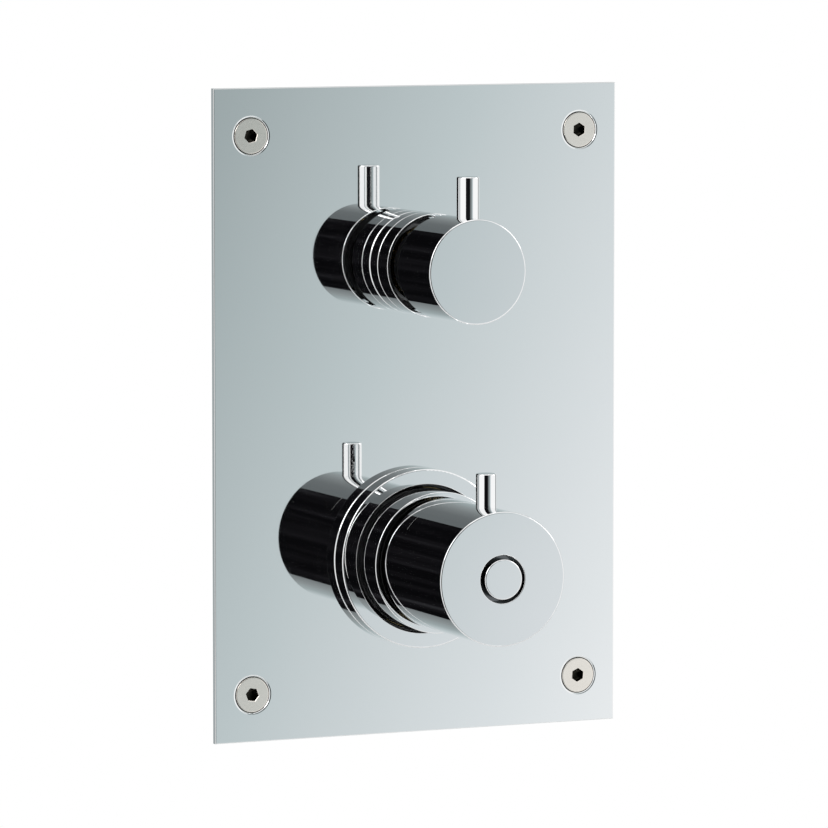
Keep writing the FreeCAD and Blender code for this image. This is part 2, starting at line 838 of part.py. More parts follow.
def thermostat_end_cap():
    """Cap in the rear of the sleeve; its front rim is the hot seat, its floor holds the spring."""
    z = temperature_z
    outer = sleeve_bore - running_clearance
    bore = outer - cap_wall
    cap = turned(z, [(bore, hot_seat), (outer, hot_seat), (outer, sleeve_end), (0, sleeve_end),
                     (0, sleeve_end - cap_floor), (bore, sleeve_end - cap_floor)])
    return radial_holes(cap, link_depth, mixed_port_radius, sleeve_port_count, bore - overrun,
                        outer + overrun, z)


def regulator_radius():
    """Outer radius of the regulating nut in the sleeve's front bore."""
    return sleeve_front_bore - running_clearance


def shuttle():
    """Spool that opens the cold port as it closes the hot one; its hub sits on the wax element."""
    z = temperature_z
    outer = sleeve_bore - running_clearance
    inner = outer - shuttle_wall
    hub_bore = wax_radius + running_clearance
    hub = hub_bore + wax_hub_wall
    spool = turned(z, [(inner, shuttle_front), (outer, shuttle_front), (outer, shuttle_rear),
                       (inner, shuttle_rear), (inner, shuttle_web[1]), (hub, shuttle_web[1]),
                       (hub, shuttle_web[1] + shuttle_hub_rear),
                       (hub_bore, shuttle_web[1] + shuttle_hub_rear),
                       (hub_bore, shuttle_web[0] - shuttle_hub_front),
                       (hub, shuttle_web[0] - shuttle_hub_front),
                       (hub, shuttle_web[0]), (inner, shuttle_web[0])])
    middle = (hub + inner) / 2
    hole_start = V(0, shuttle_web[0] - overrun, 0)
    hole_end = V(0, shuttle_web[1] + overrun, 0)
    for i in range(shuttle_hole_count):
        angle = math.radians(360.0 * i / shuttle_hole_count)
        centre = V(middle * math.cos(angle), 0, z + middle * math.sin(angle))
        spool = spool.cut(rod(centre + hole_start, centre + hole_end,
                              (inner - hub) / 2 - shuttle_hole_margin))
    floor = outer - 2 * shuttle_seal_section - running_clearance
    start = shuttle_seal_place - shuttle_seal_section - ring_side_gap
    end = shuttle_seal_place + shuttle_seal_section + ring_side_gap
    over = outer + overrun
    return spool.cut(turned(z, [(floor, start), (over, start), (over, end), (floor, end)]))


def wax_element():
    """Sealed wax capsule with its pushing piston."""
    z = temperature_z
    return turned(z, [(0, overload_disc[1]), (wax_piston_radius, overload_disc[1]),
                      (wax_piston_radius, wax_front), (wax_radius, wax_front, wax_front_round),
                      (wax_radius, wax_rear, wax_rear_round), (0, wax_rear)])


def regulating_nut():
    """Keyed cup that the spindle's thread moves along the sleeve without turning."""
    z = temperature_z
    outer = regulator_radius()
    bore = outer - regulator_cup_wall
    hole = spindle_thread_radius + running_clearance
    floor = regulator_front + regulator_wall
    cup = turned(z, [(hole, regulator_front), (outer, regulator_front), (outer, regulator_rear),
                     (bore, regulator_rear), (bore, floor), (hole, floor)])
    groove_end = regulator_rear - overload_groove_lip
    groove_floor = bore + overload_groove_depth
    groove_start = overload_disc[1]
    cup = cup.cut(turned(z, [(bore - overrun, groove_start), (groove_floor, groove_start),
                             (groove_floor, groove_end), (bore - overrun, groove_end)]))
    wide = regulator_key_width / 2
    tall = outer + regulator_key_height
    for side in (-1, 1):
        inner_x = side * (outer - regulator_key_root)
        outer_x = side * tall
        key = block((min(inner_x, outer_x), sleeve_start + regulator_key_front, z - wide),
                    (max(inner_x, outer_x), regulator_rear - regulator_key_rear, z + wide))
        cup = fused(cup, key)
    return cup


def overload_cup():
    """Disc that carries the wax piston and gives way against the overload spring."""
    z = temperature_z
    outer = regulator_radius() - regulator_cup_wall - running_clearance
    return turned(z, [(0, overload_disc[0]), (outer, overload_disc[0]), (outer, overload_disc[1]),
                      (0, overload_disc[1])])


def overload_clip():
    """Wire clip in the nut's groove that keeps the overload disc in."""
    z = temperature_z
    outer = regulator_radius() - regulator_cup_wall + overload_clip_grip
    inner = outer - overload_clip_width
    end = regulator_rear - overload_groove_lip - running_clearance
    half = overload_clip_mouth / 2
    ring = turned(z, [(inner, overload_disc[1]), (outer, overload_disc[1]), (outer, end), (inner, end)])
    return ring.cut(block((-half, overload_disc[1] - overrun, z), (half, end + overrun, z + outer + overrun)))


def cartridge_nut():
    """Threaded nut that holds the sleeve in the body and guides the spindle."""
    z = temperature_z
    thread = thermostat_bore - sleeve_clearance
    bore = spindle_radius + running_clearance
    cavity = regulator_radius() + seat_clearance
    nut = turned(z, [(bore, nut_boss_front), (nut_boss_radius, nut_boss_front, nut_boss_round),
                     (nut_boss_radius, nut_flange[1]), (thread, nut_flange[1]),
                     (thread, nut_thread_end), (cavity, nut_thread_end), (cavity, 0), (bore, 0)])
    hexed = prism(z, hexagon(nut_hex_size, hexagon_turn), nut_flange[0], nut_flange[1])
    hexed = hexed.cut(rod(V(0, nut_flange[0] - overrun, z), V(0, nut_flange[1] + overrun, z),
                          nut_boss_radius - joint_overlap))
    return fused(nut, hexed)


def thermo_spindle():
    """Spindle with a splined nose, a sealed journal, a thrust collar and the regulating thread."""
    z = temperature_z
    neck_front = temperature_spline[1] - joint_overlap
    neck_rear = nut_boss_front - spindle_neck_gap
    spindle = turned(z, [(0, neck_front), (spindle_neck_radius, neck_front),
                         (spindle_neck_radius, neck_rear), (spindle_radius, neck_rear, spindle_edge_round),
                         (spindle_radius, spindle_thrust[0]), (spindle_thrust_radius, spindle_thrust[0]),
                         (spindle_thrust_radius, spindle_thrust[1]),
                         (spindle_thread_radius, spindle_thrust[1]),
                         (spindle_thread_radius, spindle_thread_end), (0, spindle_thread_end)])
    for place in spindle_ring_places():
        floor = spindle_radius - 2 * spindle_ring_section + running_clearance
        start = place - spindle_ring_section - ring_side_gap
        end = place + spindle_ring_section + ring_side_gap
        spindle = spindle.cut(turned(z, [(floor, start), (spindle_radius + overrun, start),
                                         (spindle_radius + overrun, end), (floor, end)]))
    nose = prism(z, spline_points(spline_radius), temperature_spline[0], temperature_spline[1])
    return fused(spindle, nose)


def spindle_ring_places():
    """Depths of the two ring grooves in the spindle's journal."""
    return [nut_boss_front + offset for offset in spindle_ring_offsets]


def spindle_rings():
    """Rubber rings on the temperature spindle."""
    radius = spindle_radius - spindle_ring_section + running_clearance / 2
    return [o_ring(temperature_z, place, radius, spindle_ring_section - running_clearance / 2)
            for place in spindle_ring_places()]


def stop_ring():
    """Cup on the nut's boss with three inner teeth: cold end, 38 degrees and hot end."""
    z = temperature_z
    bore = nut_boss_radius + running_clearance
    inner = stop_ring_radius - stop_ring_wall
    seat = nut_flange[0]
    floor = seat - stop_ring_floor
    ring = turned(z, [(bore, floor), (inner, floor), (inner, stop_ring_front),
                      (stop_ring_radius, stop_ring_front, stop_ring_round),
                      (stop_ring_radius, seat, stop_ring_round), (bore, seat)])
    tip = inner - stop_tooth_height
    grip = pawl_grip_angle(tip) + stop_clearance_angle
    rest = LEFT
    hot_end = rest + grip + hot_travel
    cold_end = rest - grip - cold_travel
    teeth = [(rest + grip, rest + grip + stop_tooth_span, stop_tooth_depth),
             (hot_end, hot_end + stop_tooth_span, stop_tooth_long),
             (cold_end - stop_tooth_span, cold_end, stop_tooth_long)]
    for start, end, depth in teeth:
        tooth = sector(z, tip, inner + joint_overlap, stop_ring_front, stop_ring_front + depth, start, end)
        ring = fused(ring, tooth)
    return ring


def pawl_grip_angle(tip):
    """Half of the angle that the pawl's head takes up where it meets a tooth's tip."""
    cosine = (pawl_place ** 2 + tip ** 2 - pawl_radius ** 2) / (2 * pawl_place * tip)
    return math.degrees(math.acos(cosine))


def temperature_flange():
    """Chromed flange on the plate, with a ring groove that grips the shroud."""
    bore = temperature_shroud_radius + flange_bore_gap
    groove = temperature_shroud_radius + 2 * flange_ring_section + 2 * running_clearance
    start = out(flange_ring_place) - flange_ring_section - ring_side_gap
    end = out(flange_ring_place) + flange_ring_section + ring_side_gap
    flange = turned(temperature_z, [(bore, out(0)), (flange_radius, out(0), ring_back_round),
                                    (flange_radius, out(flange_height), ring_front_round),
                                    (bore, out(flange_height), flange_bore_round)])
    return flange.cut(turned(temperature_z, [(bore - overrun, start), (groove, start), (groove, end),
                                             (bore - overrun, end)]))


def flange_ring():
    """Rubber ring between the flange and the shroud."""
    radius = temperature_shroud_radius + flange_ring_section + running_clearance
    return o_ring(temperature_z, out(flange_ring_place), radius, flange_ring_section)


def temperature_shroud():
    """Chromed tube that covers the nut and carries the flange; it seats on the body."""
    outer = temperature_shroud_radius
    bore = outer - temperature_shroud_wall
    front = out(temperature_shroud_front)
    return turned(temperature_z, [(bore, front, shroud_lip_round), (outer, front, shroud_rim_round),
                                  (outer, body_face), (bore, body_face)])


def knob_shell(z, radius, wall, back, face, lever, grub, hole, hole_round):
    """Turned knob shell with holes for its lever, its grub screw and, if given, a button."""
    bore = radius - wall
    inside = out(face) + knob_front_wall
    shell = turned(z, [(hole, out(face), hole_round), (radius, out(face), knob_face_round),
                       (radius, out(back), knob_back_round), (bore, out(back)),
                       (bore, inside), (hole, inside)])
    lever_place, lever_radius = lever
    shell = shell.cut(rod(V(0, lever_place, z), V(0, lever_place, z + radius + overrun),
                          lever_radius + running_clearance))
    return shell.cut(rod(V(0, grub, z), V(0, grub, z - radius - overrun), grub_radius + running_clearance))


def temperature_knob():
    """Temperature knob shell with the button's hole in its face and an index mark on its side."""
    shell = knob_shell(temperature_z, temperature_knob_radius, temperature_knob_wall,
                       temperature_knob_back, temperature_knob_face,
                       (out(temperature_lever_place), temperature_lever_radius),
                       temperature_grub_place, button_hole_radius, button_hole_round)
    middle = out(index_mark_place)
    half = index_mark_width / 2
    floor = temperature_knob_radius - index_mark_depth
    mark = sector(temperature_z, floor, temperature_knob_radius + overrun, middle - half, middle + half,
                  index_mark_from, index_mark_to)
    return shell.cut(mark)


def flow_knob():
    """Flow knob shell with a plain closed face."""
    return knob_shell(flow_z, flow_knob_radius, flow_knob_wall, flow_knob_back, flow_knob_face,
                      (out(flow_lever_place), flow_lever_radius), flow_grub_place, 0, 0)


def lever(z, place, radius, seat, height, shank_end):
    """Round lever pin with a threaded shank that draws the knob onto its adapter."""
    base = V(0, place, z)
    pin = rod(base + V(0, 0, seat), base + V(0, 0, height), radius)
    top = [e for e in pin.Edges if abs(e.CenterOfMass.z - z - height) < same_place and e.Closed]
    pin = pin.makeFillet(lever_top_round, top)
    shank = rod(base + V(0, 0, shank_end), base + V(0, 0, seat + joint_overlap), lever_shank_radius)
    return fused(pin, shank)


def temperature_lever():
    """Lever pin on top of the temperature knob."""
    return lever(temperature_z, out(temperature_lever_place), temperature_lever_radius,
                 temperature_lever_seat, temperature_lever_height, temperature_lever_shank_end)


def flow_lever():
    """Lever pin on top of the flow knob."""
    return lever(flow_z, out(flow_lever_place), flow_lever_radius, flow_lever_seat,
                 flow_lever_height, flow_lever_shank_end)


def lever_seat_cut(adapter, z, place, radius, seat, shank_end, reach):
    """The adapter with a flat seat and a tapped hole for the lever."""
    base = V(0, place, z)
    adapter = adapter.cut(rod(base + V(0, 0, seat), base + V(0, 0, reach + overrun),
                              radius + running_clearance))
    return adapter.cut(rod(base + V(0, 0, shank_end - overrun), base + V(0, 0, reach),
                           lever_shank_radius + running_clearance))


def temperature_adapter_piece():
    """Moulded core that joins knob and spindle and guides the button's stem and pawl."""
    z = temperature_z
    outer = temperature_knob_radius - temperature_knob_wall - adapter_clearance
    front = temperature_adapter_front
    rear = temperature_adapter_rear
    spline_front = temperature_spline[0] - spline_end_room
    core = rod(V(0, front, z), V(0, rear, z), outer)
    core = core.cut(rod(V(0, front - overrun, z), V(0, front + button_spring_pocket_depth, z),
                        button_spring_pocket_radius))
    core = core.cut(rod(V(0, front, z), V(0, spline_front, z), button_stem_radius + running_clearance))
    core = core.cut(prism(z, spline_points(spline_radius + spline_clearance), spline_front,
                          temperature_spline[1]))
    core = core.cut(rod(V(0, temperature_spline[1] - spline_back_room, z), V(0, rear + overrun, z),
                        spindle_neck_radius + seat_clearance))
    core = lever_seat_cut(core, z, out(temperature_lever_place), temperature_lever_radius,
                          temperature_lever_seat, temperature_lever_shank_end, outer)
    core = core.cut(rod(V(-pawl_place, front - overrun, z), V(-pawl_place, rear + overrun, z),
                        pawl_rod_radius + pawl_hole_clearance))
    return core.cut(rod(V(0, temperature_grub_place, z), V(0, temperature_grub_place, z - outer - overrun),
                        grub_radius + running_clearance))


def flow_adapter_piece():
    """Moulded core of the flow knob with a long hub over the cartridge's neck."""
    z = flow_z
    outer = flow_knob_radius - flow_knob_wall - adapter_clearance
    front, rear = flow_adapter
    spline_front = flow_spline[0] - spline_end_room
    core = turned(z, [(0, front), (outer, front), (outer, rear), (flow_hub_radius, rear),
                      (flow_hub_radius, flow_hub_end), (0, flow_hub_end)])
    core = core.cut(prism(z, spline_points(spline_radius + spline_clearance), spline_front, flow_spline[1]))
    core = core.cut(rod(V(0, flow_spline[1] - spline_back_room, z), V(0, flow_hub_end + overrun, z),
                        spindle_neck_radius + seat_clearance))
    core = lever_seat_cut(core, z, out(flow_lever_place), flow_lever_radius, flow_lever_seat,
                          flow_lever_shank_end, outer)
    return core.cut(rod(V(0, flow_grub_place, z), V(0, flow_grub_place, z - outer - overrun),
                        grub_radius + running_clearance))


def grub_screw(z, place, radius):
    """Cup-point grub screw from the underside of a knob to its spindle."""
    top = z - spline_radius - grub_tip_gap
    bottom = z - radius + grub_setback
    screw = rod(V(0, place, bottom), V(0, place, top), grub_radius)
    corners = [V(u, place + v, bottom - overrun) for u, v in hexagon(grub_key_size)]
    socket = Part.Face(Part.makePolygon(corners + corners[:1])).extrude(V(0, 0, grub_key_depth + overrun))
    return screw.cut(upright(socket))


def release_button():
    """Flat-faced button in the knob's face, with a rim behind the face and a guide stem."""
    top = out(temperature_knob_face + button_proud)
    return turned(temperature_z, [(0, top), (button_radius, top, button_edge_round),
                                  (button_radius, button_rim_front), (button_rim_radius, button_rim_front),
                                  (button_rim_radius, button_rim_rear), (button_stem_radius, button_rim_rear),
                                  (button_stem_radius, button_stem_end, button_stem_round),
                                  (0, button_stem_end)])


def release_rod():
    """Side rod from the button's rim to the pawl that meets the stop ring's teeth."""
    z = temperature_z
    rim = button_rim_rear
    arm_rear = release_arm_rear
    centre_x = -pawl_place
    arm = block((centre_x, rim, z - pawl_rod_radius), (-release_arm_inner, arm_rear, z + pawl_rod_radius))
    arm = arm.cut(rod(V(0, rim - overrun, z), V(0, arm_rear + overrun, z),
                      button_spring_radius + button_spring_wire))
    boss = rod(V(centre_x, rim, z), V(centre_x, arm_rear, z), pawl_rod_radius + release_boss_wall)
    shaft = rod(V(centre_x, arm_rear - joint_overlap, z), V(centre_x, pawl_front + joint_overlap, z),
                pawl_rod_radius)
    head = rod(V(centre_x, pawl_front, z), V(centre_x, pawl_front + pawl_length, z), pawl_radius)
    return fused(arm, boss, shaft, head)


def button_spring():
    """Spring that lifts the button again."""
    half = button_spring_wire / 2
    low = button_rim_rear + half
    high = temperature_adapter_front + button_spring_pocket_depth - half
    start = V(0, low + spring_seat_gap, temperature_z)
    return coil(start, V(0, 1, 0), button_spring_radius, button_spring_wire,
                high - low - 2 * spring_seat_gap, button_spring_turns)


def return_spring():
    """Spring between the end cap's floor and the shuttle."""
    half = return_spring_wire / 2
    low = shuttle_web[1] + half + spring_seat_gap
    high = sleeve_end - cap_floor - half - spring_seat_gap
    start = V(0, low, temperature_z)
    return coil(start, V(0, 1, 0), return_spring_radius, return_spring_wire, high - low,
                return_spring_turns)


def overload_spring():
    """Stiff spring inside the regulating nut."""
    half = overload_spring_wire / 2
    low = regulator_front + regulator_wall + half + spring_seat_gap
    high = overload_disc[0] - half - spring_seat_gap
    start = V(0, low, temperature_z)
    return coil(start, V(0, 1, 0), overload_spring_radius, overload_spring_wire, high - low,
                overload_spring_turns)


def flow_base_ring():
    """Chromed ring on the plate under the flow control's shroud."""
    bore = flow_tube_radius + running_clearance
    front = out(base_ring_height)
    return turned(flow_z, [(bore, out(0)), (flow_shroud_radius, out(0), ring_back_round),
                           (flow_shroud_radius, front, ring_front_round), (bore, front)])


def flow_shroud():
    """Chromed shroud: a tube through the plate with a wider, recessed head."""
    bore = flow_shroud_bore
    head = out(base_ring_height)
    front = out(flow_shroud_front)
    recess = flow_shroud_radius - flow_shroud_rim
    return turned(flow_z, [(recess, front, flow_shroud_lip_round),
                           (flow_shroud_radius, front, flow_shroud_rim_round),
                           (flow_shroud_radius, head, flow_shroud_back_round), (flow_tube_radius, head),
                           (flow_tube_radius, body_face), (bore, body_face),
                           (bore, front + flow_recess_depth), (recess, front + flow_recess_depth)])


def flow_cartridge_body():
    """Brass headwork: neck, hexagon, thread and a barrel with side windows and inner stops."""
    z = flow_z
    thread = flow_thread_bore - sleeve_clearance
    bore = flow_spindle_radius + running_clearance
    body = turned(z, [(bore, flow_neck_front), (flow_neck_radius, flow_neck_front, flow_neck_round),
                      (flow_neck_radius, flow_flange_front), (flow_flange_radius, flow_flange_front),
                      (flow_flange_radius, body_face), (thread, body_face), (thread, flow_thread_end),
                      (flow_barrel_radius, flow_thread_end), (flow_barrel_radius, flow_barrel_end),
                      (flow_cavity_radius, flow_barrel_end), (flow_cavity_radius, flow_cavity_start),
                      (bore, flow_cavity_start)])
    hexed = prism(z, hexagon(flow_hex_size, hexagon_turn), flow_hex_front, flow_flange_front)
    hexed = hexed.cut(rod(V(0, flow_hex_front - overrun, z), V(0, overrun, z),
                          flow_neck_radius - joint_overlap))
    body = fused(body, hexed)
    half = flow_window_width / 2
    far = flow_barrel_radius + 1
    body = body.cut(block((-far, flow_window[0], z - half), (far, flow_window[1], z + half)))
    stop_tip = flow_cavity_radius - drive_stop_height
    bar = math.degrees(math.asin(drive_bar_width / 2 / stop_tip)) + drive_stop_clearance
    for base in (UP, UP + HALF_TURN):
        start = base + flow_turn + bar
        end = base + HALF_TURN - bar
        stop = sector(z, stop_tip, flow_cavity_radius + joint_overlap, drive_bar[0] + drive_stop_gap,
                      drive_bar[1] - drive_stop_gap, start, end)
        body = fused(body, stop)
    for place in (LEFT, 0):
        angle = math.radians(place)
        centre = V(flow_cavity_radius * math.cos(angle), 0, z + flow_cavity_radius * math.sin(angle))
        body = body.cut(rod(centre + V(0, moving_disc_rear + disc_key_gap, 0),
                            centre + V(0, flow_barrel_end + overrun, 0), disc_key_radius + running_clearance))
    return body


def flow_spindle():
    """Flow spindle with a splined nose, a thrust collar and a driving bar with tangs."""
    z = flow_z
    thrust = flow_cavity_start + flow_thrust_gap
    nose_end = flow_spline[1] - joint_overlap
    spindle = turned(z, [(0, nose_end), (flow_spindle_radius, nose_end),
                         (flow_spindle_radius, thrust),
                         (flow_thrust_radius, thrust), (flow_thrust_radius, flow_thrust_rear),
                         (flow_spindle_radius, flow_thrust_rear),
                         (flow_spindle_radius, drive_bar[0] + joint_overlap),
                         (0, drive_bar[0] + joint_overlap)])
    for place in flow_ring_places():
        floor = flow_spindle_radius - 2 * flow_ring_section + running_clearance
        start = place - flow_ring_section - ring_side_gap
        end = place + flow_ring_section + ring_side_gap
        spindle = spindle.cut(turned(z, [(floor, start), (flow_spindle_radius + overrun, start),
                                         (flow_spindle_radius + overrun, end), (floor, end)]))
    clip = clip_groove_radius()
    groove_start = flow_neck_front - clip_end_gap - clip_thickness - clip_side_gap
    groove_end = flow_neck_front - clip_end_gap + clip_side_gap
    spindle = spindle.cut(turned(z, [(clip, groove_start), (flow_spindle_radius + overrun, groove_start),
                                     (flow_spindle_radius + overrun, groove_end), (clip, groove_end)]))
    nose = prism(z, spline_points(spline_radius), flow_spline[0], flow_spline[1])
    half = drive_bar_width / 2
    reach = drive_bar_length / 2
    bar = block((-half, drive_bar[0], z - reach), (half, drive_bar[1], z + reach))
    bar = bar.common(rod(V(0, drive_bar[0], z), V(0, drive_bar[1], z), reach))
    tangs = []
    for side in (-1, 1):
        centre = z + side * (reach - drive_tang_place)
        tangs.append(block((-drive_tang_half_width, drive_bar[1] - joint_overlap,
                            centre - drive_tang_half_height),
                           (drive_tang_half_width, drive_bar[1] + drive_tang_depth,
                            centre + drive_tang_half_height)))
    return fused(spindle, nose, bar, *tangs)


def clip_groove_radius():
    """Floor of the clip's groove in the flow spindle."""
    return flow_spindle_radius - clip_groove_depth


def flow_ring_places():
    """Depths of the two ring grooves in the flow spindle."""
    return [flow_neck_front + offset for offset in flow_ring_offsets]


def flow_spindle_rings():
    """Rubber rings on the flow spindle."""
    radius = flow_spindle_radius - flow_ring_section + running_clearance / 2
    return [o_ring(flow_z, place, radius, flow_ring_section - running_clearance / 2)
            for place in flow_ring_places()]


def flow_spindle_clip():
    """Open spring clip that keeps the flow spindle in its neck."""
    z = flow_z
    end = flow_neck_front - clip_end_gap
    start = end - clip_thickness
    inner = clip_groove_radius() + running_clearance
    ring = turned(z, [(inner, start), (clip_radius, start), (clip_radius, end), (inner, end)])
    mouth = inner * clip_mouth_share
    return ring.cut(block((-mouth, start - overrun, z - clip_radius - overrun), (mouth, end + overrun, z)))


def disc_openings(z, start, end, base):
    """Two opposite fan-shaped openings of a ceramic disc."""
    half = disc_opening_angle / 2
    return [sector(z, disc_opening_inner, disc_opening_radius, start, end, base + turn - half,
                   base + turn + half) for turn in (0, HALF_TURN)]


def moving_disc():
    """Upper ceramic disc, turned by the spindle's tangs."""
    z = flow_z
    outer = flow_cavity_radius - moving_disc_gap
    disc = rod(V(0, drive_bar[1] + lapped_gap, z), V(0, moving_disc_rear, z), outer)
    for opening in disc_openings(z, drive_bar[1] - overrun, moving_disc_rear + overrun, LEFT + flow_turn):
        disc = disc.cut(opening)
    reach = drive_bar_length / 2
    for side in (-1, 1):
        centre = z + side * (reach - drive_tang_place)
        wide = drive_tang_half_width + drive_tang_gap
        tall = drive_tang_half_height + drive_tang_gap
        disc = disc.cut(block((-wide, drive_bar[1] - overrun, centre - tall),
                              (wide, drive_bar[1] + drive_tang_depth + drive_tang_gap, centre + tall)))
    return disc


def fixed_disc():
    """Lower ceramic disc, keyed in the barrel."""
    z = flow_z
    outer = flow_cavity_radius - running_clearance
    start = moving_disc_rear + lapped_gap
    disc = rod(V(0, start, z), V(0, fixed_disc_rear, z), outer)
    for place in (LEFT, 0):
        angle = math.radians(place)
        centre = V(flow_cavity_radius * math.cos(angle), 0, z + flow_cavity_radius * math.sin(angle))
        key = rod(centre + V(0, start + disc_key_setback, 0), centre + V(0, fixed_disc_rear, 0),
                  disc_key_radius)
        disc = fused(disc, key)
    for opening in disc_openings(z, start - overrun, fixed_disc_rear + overrun, LEFT):
        disc = disc.cut(opening)
    return disc


def flow_seat_seal():
    """Rubber seal between the fixed disc and the body's seat."""
    outer = seat_seal_radius - running_clearance
    bore = outer - seat_seal_wall
    return turned(flow_z, [(bore, fixed_disc_rear), (outer, fixed_disc_rear),
                           (outer, flow_seat, seat_seal_round), (bore, flow_seat, seat_seal_round)])


os.makedirs("parts", exist_ok=True)

save("face_plate", face_plate())
save("plate_screws", *plate_screws())
save("plate_bushes", *plate_bushes())
save("plate_gasket", plate_gasket())
save("wall_frame", wall_frame())
save("body_screws", *body_screws())
save("valve_body", valve_body())

save("inlet_filters", *inlet_filters())
save("check_valve_cages", *check_valve_cages())
save("hot_poppet", check_poppet(-1))
save("cold_poppet", check_poppet(1))
save("hot_poppet_spring", poppet_spring(-1))
save("cold_poppet_spring", poppet_spring(1))

save("thermostat_sleeve", thermostat_sleeve())
save("sleeve_rings", *sleeve_rings())
save("thermostat_end_cap", thermostat_end_cap())
save("shuttle", shuttle())
save("shuttle_ring", o_ring(temperature_z, shuttle_seal_place,
                            sleeve_bore - running_clearance - shuttle_seal_section, shuttle_seal_section))
save("wax_element", wax_element())
save("return_spring", return_spring())
save("regulating_nut", regulating_nut())
save("overload_spring", overload_spring())
save("overload_cup", overload_cup())
save("overload_clip", overload_clip())
save("cartridge_nut", cartridge_nut())
save("thermo_spindle", thermo_spindle())
save("spindle_rings", *spindle_rings())
save("stop_ring", stop_ring())

save("temperature_flange", temperature_flange())
save("flange_ring", flange_ring())
save("temperature_shroud", temperature_shroud())
save("temperature_knob", temperature_knob())
save("temperature_adapter", temperature_adapter_piece())
save("temperature_lever", temperature_lever())
save("temperature_grub_screw", grub_screw(temperature_z, temperature_grub_place, temperature_knob_radius))
save("release_button", release_button())
save("release_rod", release_rod())
save("button_spring", button_spring())

save("flow_base_ring", flow_base_ring())
save("flow_shroud", flow_shroud())
save("flow_knob", flow_knob())
save("flow_adapter", flow_adapter_piece())
save("flow_lever", flow_lever())
save("flow_grub_screw", grub_screw(flow_z, flow_grub_place, flow_knob_radius))
save("flow_cartridge_body", flow_cartridge_body())
save("flow_spindle", flow_spindle())
save("flow_spindle_rings", *flow_spindle_rings())
save("flow_spindle_clip", flow_spindle_clip())
save("moving_disc", moving_disc())
save("fixed_disc", fixed_disc())
save("flow_seat_seal", flow_seat_seal())
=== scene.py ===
import math

import bmesh
import bpy
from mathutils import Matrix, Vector


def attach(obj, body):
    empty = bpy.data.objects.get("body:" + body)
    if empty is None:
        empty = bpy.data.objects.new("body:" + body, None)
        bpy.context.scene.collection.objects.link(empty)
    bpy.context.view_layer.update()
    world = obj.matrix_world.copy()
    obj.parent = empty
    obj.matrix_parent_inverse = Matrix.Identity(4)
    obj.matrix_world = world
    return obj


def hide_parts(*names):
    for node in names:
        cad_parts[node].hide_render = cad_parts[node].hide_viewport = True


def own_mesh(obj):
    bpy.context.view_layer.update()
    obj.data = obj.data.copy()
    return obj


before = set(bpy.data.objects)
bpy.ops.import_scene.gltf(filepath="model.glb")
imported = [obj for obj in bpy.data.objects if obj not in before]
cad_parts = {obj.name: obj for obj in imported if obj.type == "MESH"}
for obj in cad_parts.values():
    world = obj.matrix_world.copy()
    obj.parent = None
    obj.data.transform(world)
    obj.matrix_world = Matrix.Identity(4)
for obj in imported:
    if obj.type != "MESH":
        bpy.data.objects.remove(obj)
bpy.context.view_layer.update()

# View. The camera stands two metres in front of the plate, to its left and a little above it,
# and looks slightly down. Its long lens gives the flat perspective of a catalogue picture.
image_pixels = 828
focal_pixels = 5787
camera_place = Vector((-0.7860, -1.7951, 0.1820))
camera_yaw = 23.685
camera_pitch = 5.36

camera_data = bpy.data.cameras.new("view")
camera_data.lens = focal_pixels / image_pixels * camera_data.sensor_width
camera = bpy.data.objects.new("view", camera_data)
camera.location = camera_place
camera.rotation_euler = (math.radians(90 - camera_pitch), 0, math.radians(-camera_yaw))
bpy.context.scene.collection.objects.link(camera)
bpy.context.scene.camera = camera
bpy.context.scene.view_settings.view_transform = "Standard"

# Studio. The valve hangs as if on its wall above a pale floor. Mirror-bright metal is lit by
# what it reflects, so there are cards that show in reflections only: a dark flag round the
# camera, a tall card to its right that fades from grey to white, and a grey wall behind.
floor_radius = 0.8
floor_height = -0.5
floor_white = (0.95, 0.95, 0.945)
floor_roughness = 0.9
floor_glow_share = 0.85
floor_corner_turn = 5
flag_distance = 2.6
flag_from = -44.0
flag_to = -2.0
flag_reach = 40.0
flag_steps = 12
flag_tones = (
    (0.42, (0.0030, 0.0030, 0.0036)),
    (0.60, (0.0075, 0.0072, 0.0085)),
    (0.72, (0.024, 0.024, 0.027)),
)
flag_streak_scale = 2.2
flag_streak_stretch = (1.0, 1.0, 3.0)
flag_streak_detail = 3.0
card_distance = 3.0
card_azimuth = 24.0
card_span = (-1.85, 1.0)
card_height = 2.0
card_lean = -0.375
card_tones = (
    (-1.70, (0.135, 0.15, 0.155)),
    (-1.25, (0.15, 0.165, 0.17)),
    (-0.85, (0.205, 0.225, 0.23)),
    (-0.50, (0.28, 0.31, 0.315)),
    (-0.18, (0.365, 0.42, 0.43)),
    (0.03, (0.535, 0.60, 0.615)),
    (0.24, (0.745, 0.78, 0.80)),
    (0.36, (0.87, 0.89, 0.905)),
    (0.60, (1.0, 1.0, 1.0)),
)
wall_distance = 0.6
wall_span = (-1.85, 3.3)
wall_tones = (
    (2.05, (0.36, 0.39, 0.40)),
    (2.12, (0.03, 0.03, 0.03)),
    (2.7, (0.03, 0.03, 0.03)),
    (2.8, (0.40, 0.42, 0.43)),
)
room_tint = (0.97, 0.985, 1.0, 1)
room_strength = 0.6
white = (1, 1, 1, 1)
lamp_distance = 2.2
# Each lamp's name, azimuth and elevation in degrees, width in metres and power in watts.
lamps = (("window_left", -75, 35, 1.2, 9), ("window_right", 80, 25, 1.0, 5), ("ceiling", 180, 70, 1.4, 6))


def add_to_tree(tree, kind, **inputs):
    """A new node in a node tree with some of its inputs set."""
    node = tree.nodes.new(kind)
    for name, value in inputs.items():
        node.inputs[name.replace("_", " ")].default_value = value
    return node


def add_node(material, kind, **inputs):
    """A new node in a material, or in the world, with some of its inputs set."""
    return add_to_tree(material.node_tree, kind, **inputs)


